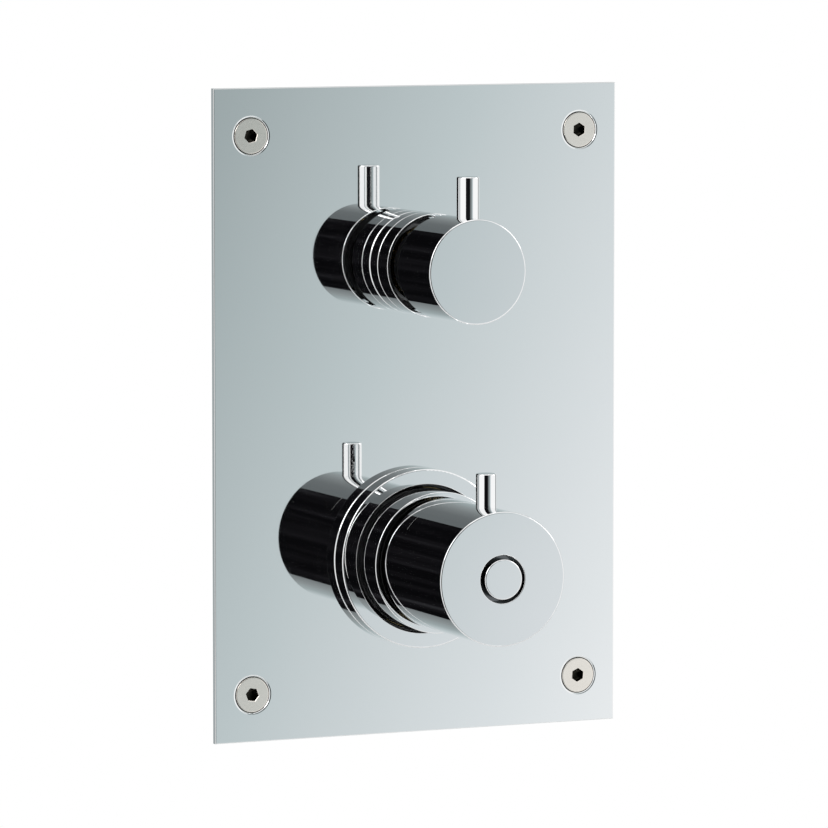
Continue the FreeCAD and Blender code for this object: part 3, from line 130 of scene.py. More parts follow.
def link(material, source, node, socket):
    """Join a node's first output, or a (node, output) pair, to another node's input."""
    out_node, out_socket = source if isinstance(source, tuple) else (source, 0)
    material.node_tree.links.new(out_node.outputs[out_socket], node.inputs[socket])


def calculate(material, operation, first, second=0.0):
    """A Math node; each operand is a number, a node or a (node, output) pair."""
    node = add_node(material, "ShaderNodeMath")
    node.operation = operation
    for place, operand in enumerate((first, second)):
        if isinstance(operand, (int, float)):
            node.inputs[place].default_value = operand
        else:
            link(material, operand, node, place)
    return node


def calculate_vector(material, operation, source, constant=(0, 0, 0)):
    """A Vector Math node on a source and a fixed vector."""
    node = add_node(material, "ShaderNodeVectorMath")
    node.operation = operation
    link(material, source, node, 0)
    node.inputs[1].default_value = constant
    return node


def own_places(material):
    """The piece's own coordinates."""
    return add_node(material, "ShaderNodeTexCoord"), "Object"


def own_axes(material):
    """The piece's own X, Y and Z, each by itself."""
    axes = add_node(material, "ShaderNodeSeparateXYZ")
    link(material, own_places(material), axes, "Vector")
    return axes


def grain(material, scale, stretch=(1, 1, 1), detail=4.0):
    """Noise in the piece's own coordinates, drawn out along one axis where the tool ran."""
    mapping = add_node(material, "ShaderNodeMapping", Scale=stretch)
    noise = add_node(material, "ShaderNodeTexNoise", Scale=scale, Detail=detail)
    link(material, own_places(material), mapping, "Vector")
    link(material, mapping, noise, "Vector")
    return noise


def ramped(material, tones, source):
    """Colours along a value; tones are (place, colour) pairs and may lie outside 0 to 1."""
    low = tones[0][0]
    span = tones[-1][0] - low
    shift = calculate(material, "SUBTRACT", source, low)
    share = calculate(material, "DIVIDE", shift, span)
    ramp = add_node(material, "ShaderNodeValToRGB")
    while len(ramp.color_ramp.elements) < len(tones):
        ramp.color_ramp.elements.new(0.5)
    for stop, (place, tone) in zip(ramp.color_ramp.elements, tones):
        stop.position = (place - low) / span
        stop.color = (*tone, 1)
    link(material, share, ramp, "Fac")
    return ramp


def shader_of(material):
    """The shader that a new material starts with."""
    return material.node_tree.nodes["Principled BSDF"]


def shaded(name, color, metallic, roughness):
    """A material whose plain values sit on the shader itself."""
    material = bpy.data.materials.new(name)
    material.use_nodes = True
    shader = shader_of(material)
    shader.inputs["Base Color"].default_value = (*color, 1)
    shader.inputs["Metallic"].default_value = metallic
    shader.inputs["Roughness"].default_value = roughness
    return material


def glowing(name, make_color):
    """A material that gives off the colour that make_color builds in it, and nothing else."""
    material = bpy.data.materials.new(name)
    material.use_nodes = True
    material.node_tree.nodes.clear()
    glow = add_node(material, "ShaderNodeEmission")
    output = add_node(material, "ShaderNodeOutputMaterial")
    link(material, make_color(material), glow, "Color")
    link(material, glow, output, "Surface")
    return material


def end_in_mix(material, share, first, second, output_name):
    """Show the first shader, and the second by this share."""
    mix = add_node(material, "ShaderNodeMixShader")
    for socket, source in enumerate((share, first, second)):
        link(material, source, mix, socket)
    link(material, mix, material.node_tree.nodes[output_name], "Surface")


def stage_mesh(name, corners, faces, material):
    """A floor or card that isn't part of the valve."""
    mesh = bpy.data.meshes.new(name)
    mesh.from_pydata(corners, [], faces)
    mesh.materials.append(material)
    item = bpy.data.objects.new(name, mesh)
    bpy.context.scene.collection.objects.link(item)
    return item


def reflection_card(name, corners, faces, material):
    """A card that shows in reflections, and not directly, in soft light or as a shadow."""
    card = stage_mesh(name, corners, faces, material)
    card.visible_camera = False
    card.visible_diffuse = False
    card.visible_shadow = False
    card.visible_transmission = False


def flag_color(material):
    """Near-black with paler streaks."""
    streaks = grain(material, flag_streak_scale, flag_streak_stretch, flag_streak_detail)
    return ramped(material, flag_tones, streaks)


def card_color(material):
    """Grey to white along the card, leaning with height."""
    slope = card_along + Vector((0, 0, card_lean))
    measure = calculate_vector(material, "DOT_PRODUCT", own_places(material), slope)
    return ramped(material, card_tones, (measure, "Value"))


def wall_color(material):
    """Greys along the wall."""
    return ramped(material, wall_tones, (own_axes(material), "X"))


floor_material = shaded("floor_white", floor_white, 0.0, floor_roughness)
floor_glow = add_node(floor_material, "ShaderNodeEmission", Color=white, Strength=1.0)
floor_path = add_node(floor_material, "ShaderNodeLightPath")
floor_share = calculate(floor_material, "MULTIPLY", (floor_path, "Is Camera Ray"), floor_glow_share)
end_in_mix(floor_material, floor_share, shader_of(floor_material), floor_glow, "Material Output")
floor_rim = [(floor_radius * math.cos(math.radians(turn)), floor_radius * math.sin(math.radians(turn)),
              floor_height) for turn in range(0, 360, floor_corner_turn)]
stage_mesh("floor", floor_rim, [list(range(len(floor_rim)))], floor_material)

flag_half = flag_distance * math.tan(math.radians(flag_reach))
flag_corners = []
for step in range(flag_steps + 1):
    angle = math.radians(flag_from + (flag_to - flag_from) * step / flag_steps)
    for height in (-flag_half, flag_half):
        flag_corners.append((flag_distance * math.sin(angle), -flag_distance * math.cos(angle), height))
flag_faces = [(2 * i, 2 * i + 1, 2 * i + 3, 2 * i + 2) for i in range(flag_steps)]
reflection_card("dark_flag", flag_corners, flag_faces, glowing("flag_black", flag_color))

card_along = Vector((math.cos(math.radians(card_azimuth)), math.sin(math.radians(card_azimuth)), 0))
card_middle = Vector((card_along.y, -card_along.x, 0)) * card_distance
card_corners = [card_middle + card_along * card_span[u] + Vector((0, 0, card_height * z))
                for u, z in ((0, -1), (1, -1), (1, 1), (0, 1))]
reflection_card("grey_card", card_corners, [(0, 1, 2, 3)], glowing("card_grey", card_color))

wall_corners = [(wall_span[u], wall_distance, card_height * z)
                for u, z in ((0, -1), (0, 1), (1, 1), (1, -1))]
reflection_card("grey_wall", wall_corners, [(0, 1, 2, 3)], glowing("wall_grey", wall_color))

world = bpy.data.worlds.new("room")
bpy.context.scene.world = world
world.use_nodes = True
room_light = world.node_tree.nodes["Background"]
room_light.inputs["Color"].default_value = room_tint
room_light.inputs["Strength"].default_value = room_strength
room_white = add_node(world, "ShaderNodeBackground", Color=white, Strength=1.0)
room_path = add_node(world, "ShaderNodeLightPath")
room_seen = calculate(world, "MAXIMUM", (room_path, "Is Camera Ray"), (room_path, "Is Glossy Ray"))
room_share = calculate(world, "MAXIMUM", room_seen, (room_path, "Is Transmission Ray"))
end_in_mix(world, room_share, room_light, room_white, "World Output")

for name, azimuth, elevation, size, power in lamps:
    lamp_data = bpy.data.lights.new(name, "AREA")
    lamp_data.size = size
    lamp_data.energy = power
    lamp = bpy.data.objects.new(name, lamp_data)
    level = math.cos(math.radians(elevation))
    lamp.location = lamp_distance * Vector((level * math.sin(math.radians(azimuth)),
                                            -level * math.cos(math.radians(azimuth)),
                                            math.sin(math.radians(elevation))))
    lamp.rotation_euler = (-lamp.location).to_track_quat("-Z", "Y").to_euler()
    bpy.context.scene.collection.objects.link(lamp)

# Wall frame. A window frame cut by laser from two millimetres of stainless sheet and screwed
# to the wall through its four countersunk holes. The sheet keeps its upright brushing.
sheet_grey = (0.60, 0.61, 0.62)
sheet_tones = ((0.55, 0.56, 0.57), (0.66, 0.67, 0.68))
brush_scale = 260.0
brush_stretch = (1.0, 1.0, 0.02)
noise_low = 0.3
noise_high = 0.7


def dress(material, *names):
    """Give CAD pieces their finish."""
    for name in names:
        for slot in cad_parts[name].material_slots:
            slot.material = material


def spread(material, source, low, high):
    """Turn the usual range of noise into a value between two ends."""
    span = add_node(material, "ShaderNodeMapRange", From_Min=noise_low, From_Max=noise_high,
                    To_Min=low, To_Max=high)
    link(material, source, span, "Value")
    return span


def drifting(material, tones, source):
    """A colour that drifts between two tones with noise."""
    return ramped(material, ((noise_low, tones[0]), (noise_high, tones[1])), source)


def raised(material, source, strength, depth):
    """Let a pattern stand off the surface by this depth in metres."""
    bump = add_node(material, "ShaderNodeBump", Strength=strength, Distance=depth)
    link(material, source, bump, "Height")
    link(material, bump, shader_of(material), "Normal")


def finished(name, tones, roughness, sheen, drift, relief=None, metallic=1.0, color=None,
             sheen_stretch=(1, 1, 1), relief_stretch=(1, 1, 1)):
    """A material whose roughness, tone and relief follow noise in the piece's own coordinates.

    sheen is the noise's scale and the two roughnesses it runs between, drift the scale of the
    patches of tone, and relief the scale, strength and depth of the bumps. The plain roughness
    and colour stay on the shader beneath them; the plain colour is the light tone unless given.
    """
    material = shaded(name, color or tones[1], metallic, roughness)
    shader = shader_of(material)
    sheen_scale, smoothest, roughest = sheen
    sheen_noise = grain(material, sheen_scale, sheen_stretch)
    link(material, spread(material, sheen_noise, smoothest, roughest), shader, "Roughness")
    link(material, drifting(material, tones, grain(material, drift)), shader, "Base Color")
    if relief:
        relief_scale, strength, depth = relief
        raised(material, grain(material, relief_scale, relief_stretch), strength, depth)
    return material


dress(finished("brushed_sheet", sheet_tones, roughness=0.32, color=sheet_grey, drift=22.0,
               sheen=(brush_scale, 0.24, 0.42), sheen_stretch=brush_stretch,
               relief=(brush_scale, 0.25, 0.00002), relief_stretch=brush_stretch), "wall_frame")

# Gasket. A moulded strip of black rubber between the cover plate and the wall, which keeps
# spray out of the recess. It has a dull skin with a trace of talc from its packing.
gasket_black = (0.030, 0.030, 0.032)
gasket_tones = ((0.022, 0.022, 0.024), (0.050, 0.050, 0.053))

dress(finished("gasket_rubber", gasket_tones, metallic=0.0, roughness=0.7, color=gasket_black,
               sheen=(300.0, 0.55, 0.8), drift=60.0, relief=(1800.0, 0.4, 0.00008)), "plate_gasket")

# Valve body. Sand-cast brass, shot-blasted to a dull grainy skin and machined bright on its
# front faces and on the spanner flats of its three ports. A faint flash line shows where the
# halves of the mould met.
cast_tones = ((0.40, 0.29, 0.13), (0.60, 0.45, 0.22))
machined_tones = ((0.66, 0.50, 0.25), (0.76, 0.60, 0.32))
inlet_flats = 0.0370
outlet_flats = 0.0820
front_face = 0.0021
lug_back = 0.0075
flash_width = 0.0006
flash_height = 0.00035
sand_scale = 650.0
pit_scale = 190.0
pit_detail = 2.0
cast_relief = 0.0003
cast_relief_strength = 0.8
cast_patch_scale = 70.0
machined_patch_scale = 400.0
body_roughness = 0.5
machined_roughness = (0.22, 0.32)
cast_dullness = 0.26
# Sockets of a Mix node that is set to colours.
first_color = 6
second_color = 7
mixed_color = 2


def mixed(material, share, first):
    """Make the shader's colour a mix; its second colour is still to be set or linked."""
    mix = add_node(material, "ShaderNodeMix")
    mix.data_type = "RGBA"
    link(material, share, mix, "Factor")
    link(material, first, mix, first_color)
    link(material, (mix, mixed_color), shader_of(material), "Base Color")
    return mix


cast_brass = shaded("cast_brass", cast_tones[1], 1.0, body_roughness)
body_axes = own_axes(cast_brass)
side_reach = calculate(cast_brass, "ABSOLUTE", (body_axes, "X"))
past_hexagons = calculate(cast_brass, "GREATER_THAN", side_reach, inlet_flats)
behind_lugs = calculate(cast_brass, "GREATER_THAN", (body_axes, "Y"), lug_back)
on_inlets = calculate(cast_brass, "MULTIPLY", past_hexagons, behind_lugs)
on_outlet = calculate(cast_brass, "GREATER_THAN", (body_axes, "Z"), outlet_flats)
on_front = calculate(cast_brass, "LESS_THAN", (body_axes, "Y"), front_face)
on_ports = calculate(cast_brass, "MAXIMUM", on_inlets, on_outlet)
machined = calculate(cast_brass, "MAXIMUM", on_ports, on_front)
cast = calculate(cast_brass, "SUBTRACT", 1.0, machined)
sand = grain(cast_brass, sand_scale)
sanded = calculate(cast_brass, "ADD", sand, grain(cast_brass, pit_scale, detail=pit_detail))
on_flash = calculate(cast_brass, "LESS_THAN", side_reach, flash_width)
flash = calculate(cast_brass, "MULTIPLY", on_flash, flash_height / cast_relief)
skin = calculate(cast_brass, "ADD", sanded, flash)
raised(cast_brass, calculate(cast_brass, "MULTIPLY", skin, cast), cast_relief_strength, cast_relief)
cast_color = drifting(cast_brass, cast_tones, grain(cast_brass, cast_patch_scale))
tooled_color = drifting(cast_brass, machined_tones, grain(cast_brass, machined_patch_scale))
body_color = mixed(cast_brass, machined, cast_color)
link(cast_brass, tooled_color, body_color, second_color)
dull = calculate(cast_brass, "MULTIPLY", cast, cast_dullness)
dulled = calculate(cast_brass, "ADD", dull, spread(cast_brass, sand, *machined_roughness))
link(cast_brass, dulled, shader_of(cast_brass), "Roughness")
dress(cast_brass, "valve_body")

# Port threads. The two inlets and the outlet have half-inch pipe threads, cut with a tap
# after casting, so their ridges are bright.
port_bore = 0.0095
thread_pitch = 0.001814
thread_ridge = 0.00042
thread_turns = 5.2
thread_lead_in = 0.0012
temperature_axis = -0.050
inlet_depth = 0.029
inlet_mouth = 0.047
outlet_depth = 0.024
outlet_mouth = 0.092
# Turns in degrees that aim a winding from +Z.
rightwards = (0, 90, 0)
leftwards = (0, -90, 0)
downwards = (180, 0, 0)
inwards = (-90, 0, 0)
port_mouths = (
    ((-inlet_mouth, inlet_depth, temperature_axis), rightwards),
    ((inlet_mouth, inlet_depth, temperature_axis), leftwards),
    ((0, outlet_depth, outlet_mouth), downwards),
)
steps_per_turn = 32
ridge_sides = 6
merge_distance = 0.000001


def wound_set(name, places, material, radius, pitch, turns, half_thickness, start=0.0,
              sides=ridge_sides, model=None):
    """One mesh of a wound ridge or wire, and of a model that carries it, at each (place, aim)."""
    mesh = bpy.data.meshes.new(name + "_places")
    mesh.from_pydata([place for place, _ in places], [], [])
    aims = mesh.attributes.new("aim", "FLOAT_VECTOR", "POINT")
    for item, (_, aim) in zip(aims.data, places):
        item.vector = [math.radians(angle) for angle in aim]
    carrier = bpy.data.objects.new(name + "_places", mesh)
    bpy.context.scene.collection.objects.link(carrier)

    tree = bpy.data.node_groups.new(name, "GeometryNodeTree")
    tree.interface.new_socket("Places", in_out="INPUT", socket_type="NodeSocketGeometry")
    values = {}
    for label, value in (("Coil radius", radius), ("Coil length", pitch * turns), ("Turns", turns),
                         ("Half thickness", half_thickness)):
        socket = tree.interface.new_socket(label, in_out="INPUT", socket_type="NodeSocketFloat")
        values[socket.identifier] = value
    tree.interface.new_socket("Wound", in_out="OUTPUT", socket_type="NodeSocketGeometry")
    given = tree.nodes.new("NodeGroupInput")
    made = tree.nodes.new("NodeGroupOutput")
    spiral = add_to_tree(tree, "GeometryNodeCurveSpiral", Resolution=steps_per_turn)
    tree.links.new(given.outputs["Coil radius"], spiral.inputs["Start Radius"])
    tree.links.new(given.outputs["Coil radius"], spiral.inputs["End Radius"])
    tree.links.new(given.outputs["Coil length"], spiral.inputs["Height"])
    tree.links.new(given.outputs["Turns"], spiral.inputs["Rotations"])
    section = add_to_tree(tree, "GeometryNodeCurvePrimitiveCircle", Resolution=sides)
    tree.links.new(given.outputs["Half thickness"], section.inputs["Radius"])
    swept = add_to_tree(tree, "GeometryNodeCurveToMesh", Fill_Caps=True)
    tree.links.new(spiral.outputs["Curve"], swept.inputs["Curve"])
    tree.links.new(section.outputs["Curve"], swept.inputs["Profile Curve"])
    set_back = add_to_tree(tree, "GeometryNodeTransform", Translation=(0, 0, start))
    tree.links.new(swept.outputs["Mesh"], set_back.inputs["Geometry"])
    joined = tree.nodes.new("GeometryNodeJoinGeometry")
    tree.links.new(set_back.outputs["Geometry"], joined.inputs["Geometry"])
    if model:
        carried = add_to_tree(tree, "GeometryNodeObjectInfo", Object=model)
        tree.links.new(carried.outputs["Geometry"], joined.inputs["Geometry"])
    aim = add_to_tree(tree, "GeometryNodeInputNamedAttribute", Name="aim")
    aim.data_type = "FLOAT_VECTOR"
    placed = tree.nodes.new("GeometryNodeInstanceOnPoints")
    tree.links.new(given.outputs["Places"], placed.inputs["Points"])
    tree.links.new(joined.outputs["Geometry"], placed.inputs["Instance"])
    tree.links.new(aim.outputs["Attribute"], placed.inputs["Rotation"])
    real = tree.nodes.new("GeometryNodeRealizeInstances")
    tree.links.new(placed.outputs["Instances"], real.inputs["Geometry"])
    surfaced = add_to_tree(tree, "GeometryNodeSetMaterial", Material=material)
    tree.links.new(real.outputs["Geometry"], surfaced.inputs["Geometry"])
    tree.links.new(surfaced.outputs["Geometry"], made.inputs["Wound"])

    modifier = carrier.modifiers.new("winding", "NODES")
    modifier.node_group = tree
    for identifier, value in values.items():
        modifier[identifier] = value
    bpy.context.view_layer.update()
    shape = bpy.data.meshes.new_from_object(carrier.evaluated_get(bpy.context.evaluated_depsgraph_get()))
    carrier.modifiers.remove(modifier)
    bpy.data.objects.remove(carrier)
    return add_piece(name, shape)


def add_piece(name, mesh):
    """A finished piece at the origin, its faces turned outwards."""
    shape = bmesh.new()
    shape.from_mesh(mesh)
    bmesh.ops.remove_doubles(shape, verts=shape.verts, dist=merge_distance)
    bmesh.ops.recalc_face_normals(shape, faces=shape.faces)
    shape.to_mesh(mesh)
    shape.free()
    mesh.name = name
    piece = bpy.data.objects.new(name, mesh)
    bpy.context.scene.collection.objects.link(piece)
    return piece


tapped_brass = finished("tapped_brass", machined_tones, roughness=0.22, drift=120.0,
                        sheen=(900.0, 0.16, 0.30), relief=(900.0, 0.2, 0.00002))
port_threads = wound_set("port_threads", port_mouths, tapped_brass, radius=port_bore, pitch=thread_pitch,
                         turns=thread_turns, half_thickness=thread_ridge, start=thread_lead_in)
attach(port_threads, "valve")

# Inlet filters and check valves. In each inlet a pierced steel disc holds back grit, and
# behind it a white acetal cage guides a spring-loaded poppet that stops flow running back.
sieve_tones = ((0.55, 0.56, 0.57), (0.72, 0.73, 0.74))
acetal_white = (0.80, 0.80, 0.77)
acetal_tones = ((0.76, 0.76, 0.72), (0.84, 0.84, 0.81))

dress(finished("pierced_steel", sieve_tones, roughness=0.25, sheen=(500.0, 0.18, 0.36), drift=150.0),
      "inlet_filters")
dress(finished("white_acetal", acetal_tones, metallic=0.0, roughness=0.45, color=acetal_white,
               sheen=(250.0, 0.36, 0.52), drift=80.0, relief=(900.0, 0.2, 0.00004)),
      "check_valve_cages", "hot_poppet", "cold_poppet")

# Springs and clips. Drawn stainless wire, coiled cold, its sheen a little uneven. Four springs
# are wound anew as coils in place of their CAD pieces, each attached to the body that carries
# it. The overload spring and the clips stay as they are.
wire_tones = ((0.58, 0.58, 0.57), (0.74, 0.74, 0.73))
wire_sides = 12
springs = (
    dict(node="hot_poppet_spring", body="valve", joint="hot_check_slide", aim=rightwards,
         start=(-0.03035, inlet_depth, temperature_axis), radius=0.0032, half_wire=0.00025, turns=4,
         length=0.0040, fixed_end=-0.0260, travel=0.0020),
    dict(node="cold_poppet_spring", body="valve", joint="cold_check_slide", aim=rightwards,
         start=(0.02635, inlet_depth, temperature_axis), radius=0.0032, half_wire=0.00025, turns=4,
         length=0.0040, fixed_end=0.0260, travel=0.0020),
    dict(node="return_spring", body="valve", joint="element_slide", aim=inwards,
         start=(0, 0.02825, temperature_axis), radius=0.0090, half_wire=0.00060, turns=8,
         length=0.0231, fixed_end=0.0520, travel=0.00118),
    dict(node="button_spring", body="temperature_knob", joint="stop_release_press", aim=inwards,
         start=(0, -0.0707, temperature_axis), radius=0.0050, half_wire=0.00035, turns=3.5,
         length=0.0063, fixed_end=-0.0640, travel=0.0025),
)

spring_wire = finished("spring_wire", wire_tones, roughness=0.28, sheen=(1400.0, 0.2, 0.38), drift=300.0)
dress(spring_wire, "overload_spring", "overload_clip", "flow_spindle_clip")
for row in springs:
    spring = wound_set(row["node"] + "_coil", [(row["start"], row["aim"])], spring_wire,
                       radius=row["radius"], pitch=row["length"] / row["turns"], turns=row["turns"],
                       half_thickness=row["half_wire"], sides=wire_sides)
    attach(spring, row["body"])
    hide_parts(row["node"])
    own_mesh(spring)

# Thermostatic cartridge. Turned brass: a ported sleeve with its end cap, the shuttle that mixes
# hot and cold, the keyed nut that sets it, and the spindle and nut in front. The lathe leaves
# fine rings about the cartridge's axis.
flow_axis = 0.050
turned_tones = ((0.68, 0.51, 0.25), (0.80, 0.63, 0.34))
turning_pitch = 0.00035
turning_strength = 0.25
turning_depth = 0.00001
wave_middle = 0.5
wave_height = 0.35
turned_roughness = 0.24
turned_sheen = (500.0, 0.17, 0.32)
turned_drift = 90.0


def reach_from(material, x, z, mirrored=False):
    """Distance from the line along Y at this x and z; mirrored, from the nearest of four such lines."""
    source = own_places(material)
    if mirrored:
        source = calculate_vector(material, "ABSOLUTE", source)
    moved = calculate_vector(material, "SUBTRACT", source, (x, 0, z))
    flattened = calculate_vector(material, "MULTIPLY", moved, (1, 0, 1))
    return calculate_vector(material, "LENGTH", flattened), "Value"


def turned_finish(name, tones, z):
    """Bright turned metal with lathe rings about the axis at this height."""
    material = finished(name, tones, roughness=turned_roughness, sheen=turned_sheen, drift=turned_drift)
    along = calculate(material, "ADD", reach_from(material, 0, z), (own_axes(material), "Y"))
    turns = calculate(material, "MULTIPLY", along, math.tau / turning_pitch)
    wave = calculate(material, "MULTIPLY", calculate(material, "SINE", turns), wave_height)
    rings = calculate(material, "ADD", wave, wave_middle)
    raised(material, rings, turning_strength, turning_depth)
    return material


dress(turned_finish("turned_brass_below", turned_tones, temperature_axis), "thermostat_sleeve",
      "thermostat_end_cap", "shuttle", "regulating_nut", "overload_cup", "cartridge_nut", "thermo_spindle")

# Wax element. A sealed capsule of copper alloy whose wax swells with heat and pushes the
# shuttle. It is bright from turning, and its colour drifts between light and dark copper.
copper_tones = ((0.50, 0.25, 0.13), (0.72, 0.42, 0.26))

dress(turned_finish("copper_capsule", copper_tones, temperature_axis), "wax_element")

# Seals. Moulded black rubber rings, lightly greased, in the grooves of both cartridges, and
# the ring in the flange that grips the shroud.
seal_tones = ((0.012, 0.012, 0.013), (0.030, 0.030, 0.032))

dress(finished("seal_rubber", seal_tones, metallic=0.0, roughness=0.42, sheen=(400.0, 0.30, 0.55),
               drift=120.0, relief=(1500.0, 0.3, 0.00005)),
      "sleeve_rings", "shuttle_ring", "spindle_rings", "flange_ring", "flow_spindle_rings", "flow_seat_seal")

# Flow cartridge. A brass headwork with its spindle, turned like the other cartridge, which
# moves one of two lapped ceramic discs against the other.
ceramic_tones = ((0.82, 0.80, 0.74), (0.90, 0.89, 0.85))

dress(turned_finish("turned_brass_above", turned_tones, flow_axis), "flow_cartridge_body", "flow_spindle")
dress(finished("lapped_ceramic", ceramic_tones, metallic=0.0, roughness=0.12, sheen=(700.0, 0.06, 0.2),
               drift=1200.0), "moving_disc", "fixed_disc")

# Body screws. Four zinc-plated screws with low heads and hexagon sockets hold the lugs of the
# body to the back of the frame. Their coarse threads are rolled.
body_screw_across = 0.050
body_screw_seat = -0.002
body_screw_places = [((side * body_screw_across, body_screw_seat, z), inwards)
                     for side in (-1, 1) for z in (temperature_axis, flow_axis)]
head_radius = 0.00425
head_height = 0.0016
head_round = 0.0004
socket_flats = 0.0015
socket_depth = 0.0011
core_radius = 0.00215
core_reach = 0.011
body_screw_pitch = 0.0008
body_screw_ridge = 0.00034
zinc_tones = ((0.56, 0.58, 0.61), (0.72, 0.73, 0.74))
model_sides = 48
crease = 30.0


def hexagon_reach(angle):
    """How much farther than its flats a hexagon reaches in this direction."""
    sixth = math.tau / 6
    return 1 / math.cos((angle + sixth / 2) % sixth - sixth / 2)


def revolved(name, rings):
    """Closed mesh about Z from (radius, height) rings; radius 0 is a pole, and a third word a hexagon."""
    shape = bmesh.new()
    rows = []
    for radius, height, *hexagonal in rings:
        if radius == 0:
            rows.append([shape.verts.new((0, 0, height))])
            continue
        row = []
        for step in range(model_sides):
            angle = math.tau * step / model_sides
            reach = radius * (hexagon_reach(angle) if hexagonal else 1)
            row.append(shape.verts.new((reach * math.cos(angle), reach * math.sin(angle), height)))
        rows.append(row)
    for row, following in zip(rows, rows[1:]):
        for step in range(model_sides):
            after = (step + 1) % model_sides
            if len(row) == 1:
                shape.faces.new((row[0], following[step], following[after]))
            elif len(following) == 1:
                shape.faces.new((row[step], row[after], following[0]))
            else:
                shape.faces.new((row[step], row[after], following[after], following[step]))
    bmesh.ops.recalc_face_normals(shape, faces=shape.faces)
    for face in shape.faces:
        face.smooth = True
    for edge in shape.edges:
        edge.smooth = edge.calc_face_angle(0) < math.radians(crease)
    mesh = bpy.data.meshes.new(name)
    shape.to_mesh(mesh)
    shape.free()
    model = bpy.data.objects.new(name, mesh)
    bpy.context.scene.collection.objects.link(model)
    return model


def screw_set(name, places, material, model, **thread):
    """Threaded copies of a screw model, which itself is removed."""
    piece = wound_set(name, places, material, model=model, **thread)
    bpy.data.objects.remove(model)
    return piece


zinc_plate = finished("zinc_plate", zinc_tones, roughness=0.33, sheen=(350.0, 0.26, 0.44), drift=130.0)
body_screw_model = revolved("body_screw_model", (
    (0, socket_depth + socket_flats / 2 - head_height),
    (socket_flats, socket_depth - head_height, "hexagon"),
    (socket_flats, -head_height, "hexagon"),
    (head_radius - head_round, -head_height),
    (head_radius - head_round / 3, head_round / 3 - head_height),
    (head_radius, head_round - head_height),
    (head_radius, 0),
    (core_radius, 0),
    (core_radius, core_reach - head_round),
    (core_radius - head_round, core_reach),
    (0, core_reach),
))
body_screws = screw_set("body_screws_threaded", body_screw_places, zinc_plate, body_screw_model,
                        radius=core_radius, pitch=body_screw_pitch,
                        turns=(core_reach - 2 * body_screw_pitch) / body_screw_pitch,
                        half_thickness=body_screw_ridge, start=body_screw_pitch)
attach(body_screws, "valve")
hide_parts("body_screws")

# Plate bushes. Four flanged brass bushes pressed into the frame, which space the cover plate
# off it and take its screws. Turned and left bright.
bush_stretch = (1, 6, 1)

dress(finished("bush_brass", turned_tones, roughness=0.25, sheen=(600.0, 0.18, 0.34), drift=110.0,
               relief=(900.0, 0.2, 0.00001), relief_stretch=bush_stretch), "plate_bushes")

# Cover plate. Two millimetres of stainless steel sheet, cut by laser, its front rim broken and
# its face buffed to a mirror, which leaves a very faint upright haze. The buffing wheel has
# softened the rims of the four countersinks.
plate_tones = ((0.905, 0.925, 0.925), (0.93, 0.935, 0.935))
plate_stretch = (12, 12, 0.6)
screw_across = 0.0605
screw_up = 0.094
soft_rim_inner = 0.0064
soft_rim_outer = 0.0068
soft_rim_drop = 0.00010

polished_plate = finished("polished_plate", plate_tones, roughness=0.02, sheen=(60.0, 0.012, 0.035),
                          sheen_stretch=plate_stretch, drift=9.0)
soft_rim = add_node(polished_plate, "ShaderNodeMapRange", From_Min=soft_rim_inner, From_Max=soft_rim_outer)
soft_rim.interpolation_type = "SMOOTHSTEP"
link(polished_plate, reach_from(polished_plate, screw_across, screw_up, mirrored=True), soft_rim, "Value")
raised(polished_plate, soft_rim, strength=1.0, depth=soft_rim_drop)
dress(polished_plate, "face_plate")

# Plate screws. Countersunk steel screws, flush with the plate and plated in satin nickel,
# which is warmer and softer than the polished steel round it. Each socket stands as it was
# left by the key.
plate_screw_turns = ((-1, 1, 16.0), (1, 1, 3.0), (1, -1, 5.0), (-1, -1, 40.0))
plate_face = -0.006
plate_screw_places = [((side * screw_across, plate_face, level * screw_up), (-90, turn, 0))
                      for side, level, turn in plate_screw_turns]
screw_head = 0.00596
screw_land = 0.0003
screw_rim = 0.00026
rim_support = 1.3
rim_bow = 0.13
screw_flats = 0.002
screw_key_chamfer = 0.00016
screw_socket_depth = 0.0024
screw_core = 0.00258
screw_reach = 0.018
screw_pitch = 0.001
screw_ridge = 0.0004
# Painted shade: between these two depths the screws turn near-black, in their sockets and in the narrow ring
# round each head.
shade_from = -0.00588
shade_to = -0.0025
shade_tone = (0.022, 0.020, 0.016)
nickel_tones = ((0.93, 0.87, 0.80), (0.96, 0.90, 0.83))


def shadowed(material, inside, tone):
    """Paint shade: turn the colour to a darker tone in a recess, where shade falls."""
    color_link = shader_of(material).inputs["Base Color"].links[0]
    mix = mixed(material, inside, color_link.from_node)
    mix.inputs[second_color].default_value = (*tone, 1)


def depth_between(material, first, last):
    """One where Y lies between two depths, else nought."""
    axes = own_axes(material)
    past = calculate(material, "GREATER_THAN", (axes, "Y"), first)
    short = calculate(material, "LESS_THAN", (axes, "Y"), last)
    return calculate(material, "MULTIPLY", past, short)


satin_nickel = finished("satin_nickel", nickel_tones, roughness=0.18, sheen=(1200.0, 0.15, 0.21), drift=300.0)
# Painted shade in the sockets of the plate screws and round their heads.
shadowed(satin_nickel, depth_between(satin_nickel, shade_from, shade_to), shade_tone)
neck = screw_head - screw_core
plate_screw_model = revolved("plate_screw_model", (
    (0, screw_socket_depth + screw_flats / 2),
    (screw_flats, screw_socket_depth, "hexagon"),
    (screw_flats, screw_key_chamfer, "hexagon"),
    (screw_flats + screw_key_chamfer, 0, "hexagon"),
    (screw_flats + 2 * screw_key_chamfer, 0, "hexagon"),
    (screw_head - rim_support * screw_rim, 0),
    (screw_head - screw_rim, 0),
    (screw_head - screw_rim / 2, screw_rim * rim_bow),
    (screw_head - screw_rim * rim_bow, screw_rim / 2),
    (screw_head, screw_rim),
    (screw_head, screw_land),
    (screw_core, screw_land + neck),
    (screw_core, screw_reach - screw_land),
    (screw_core - screw_land, screw_reach),
    (0, screw_reach),
))
screw_start = screw_land + neck + screw_pitch
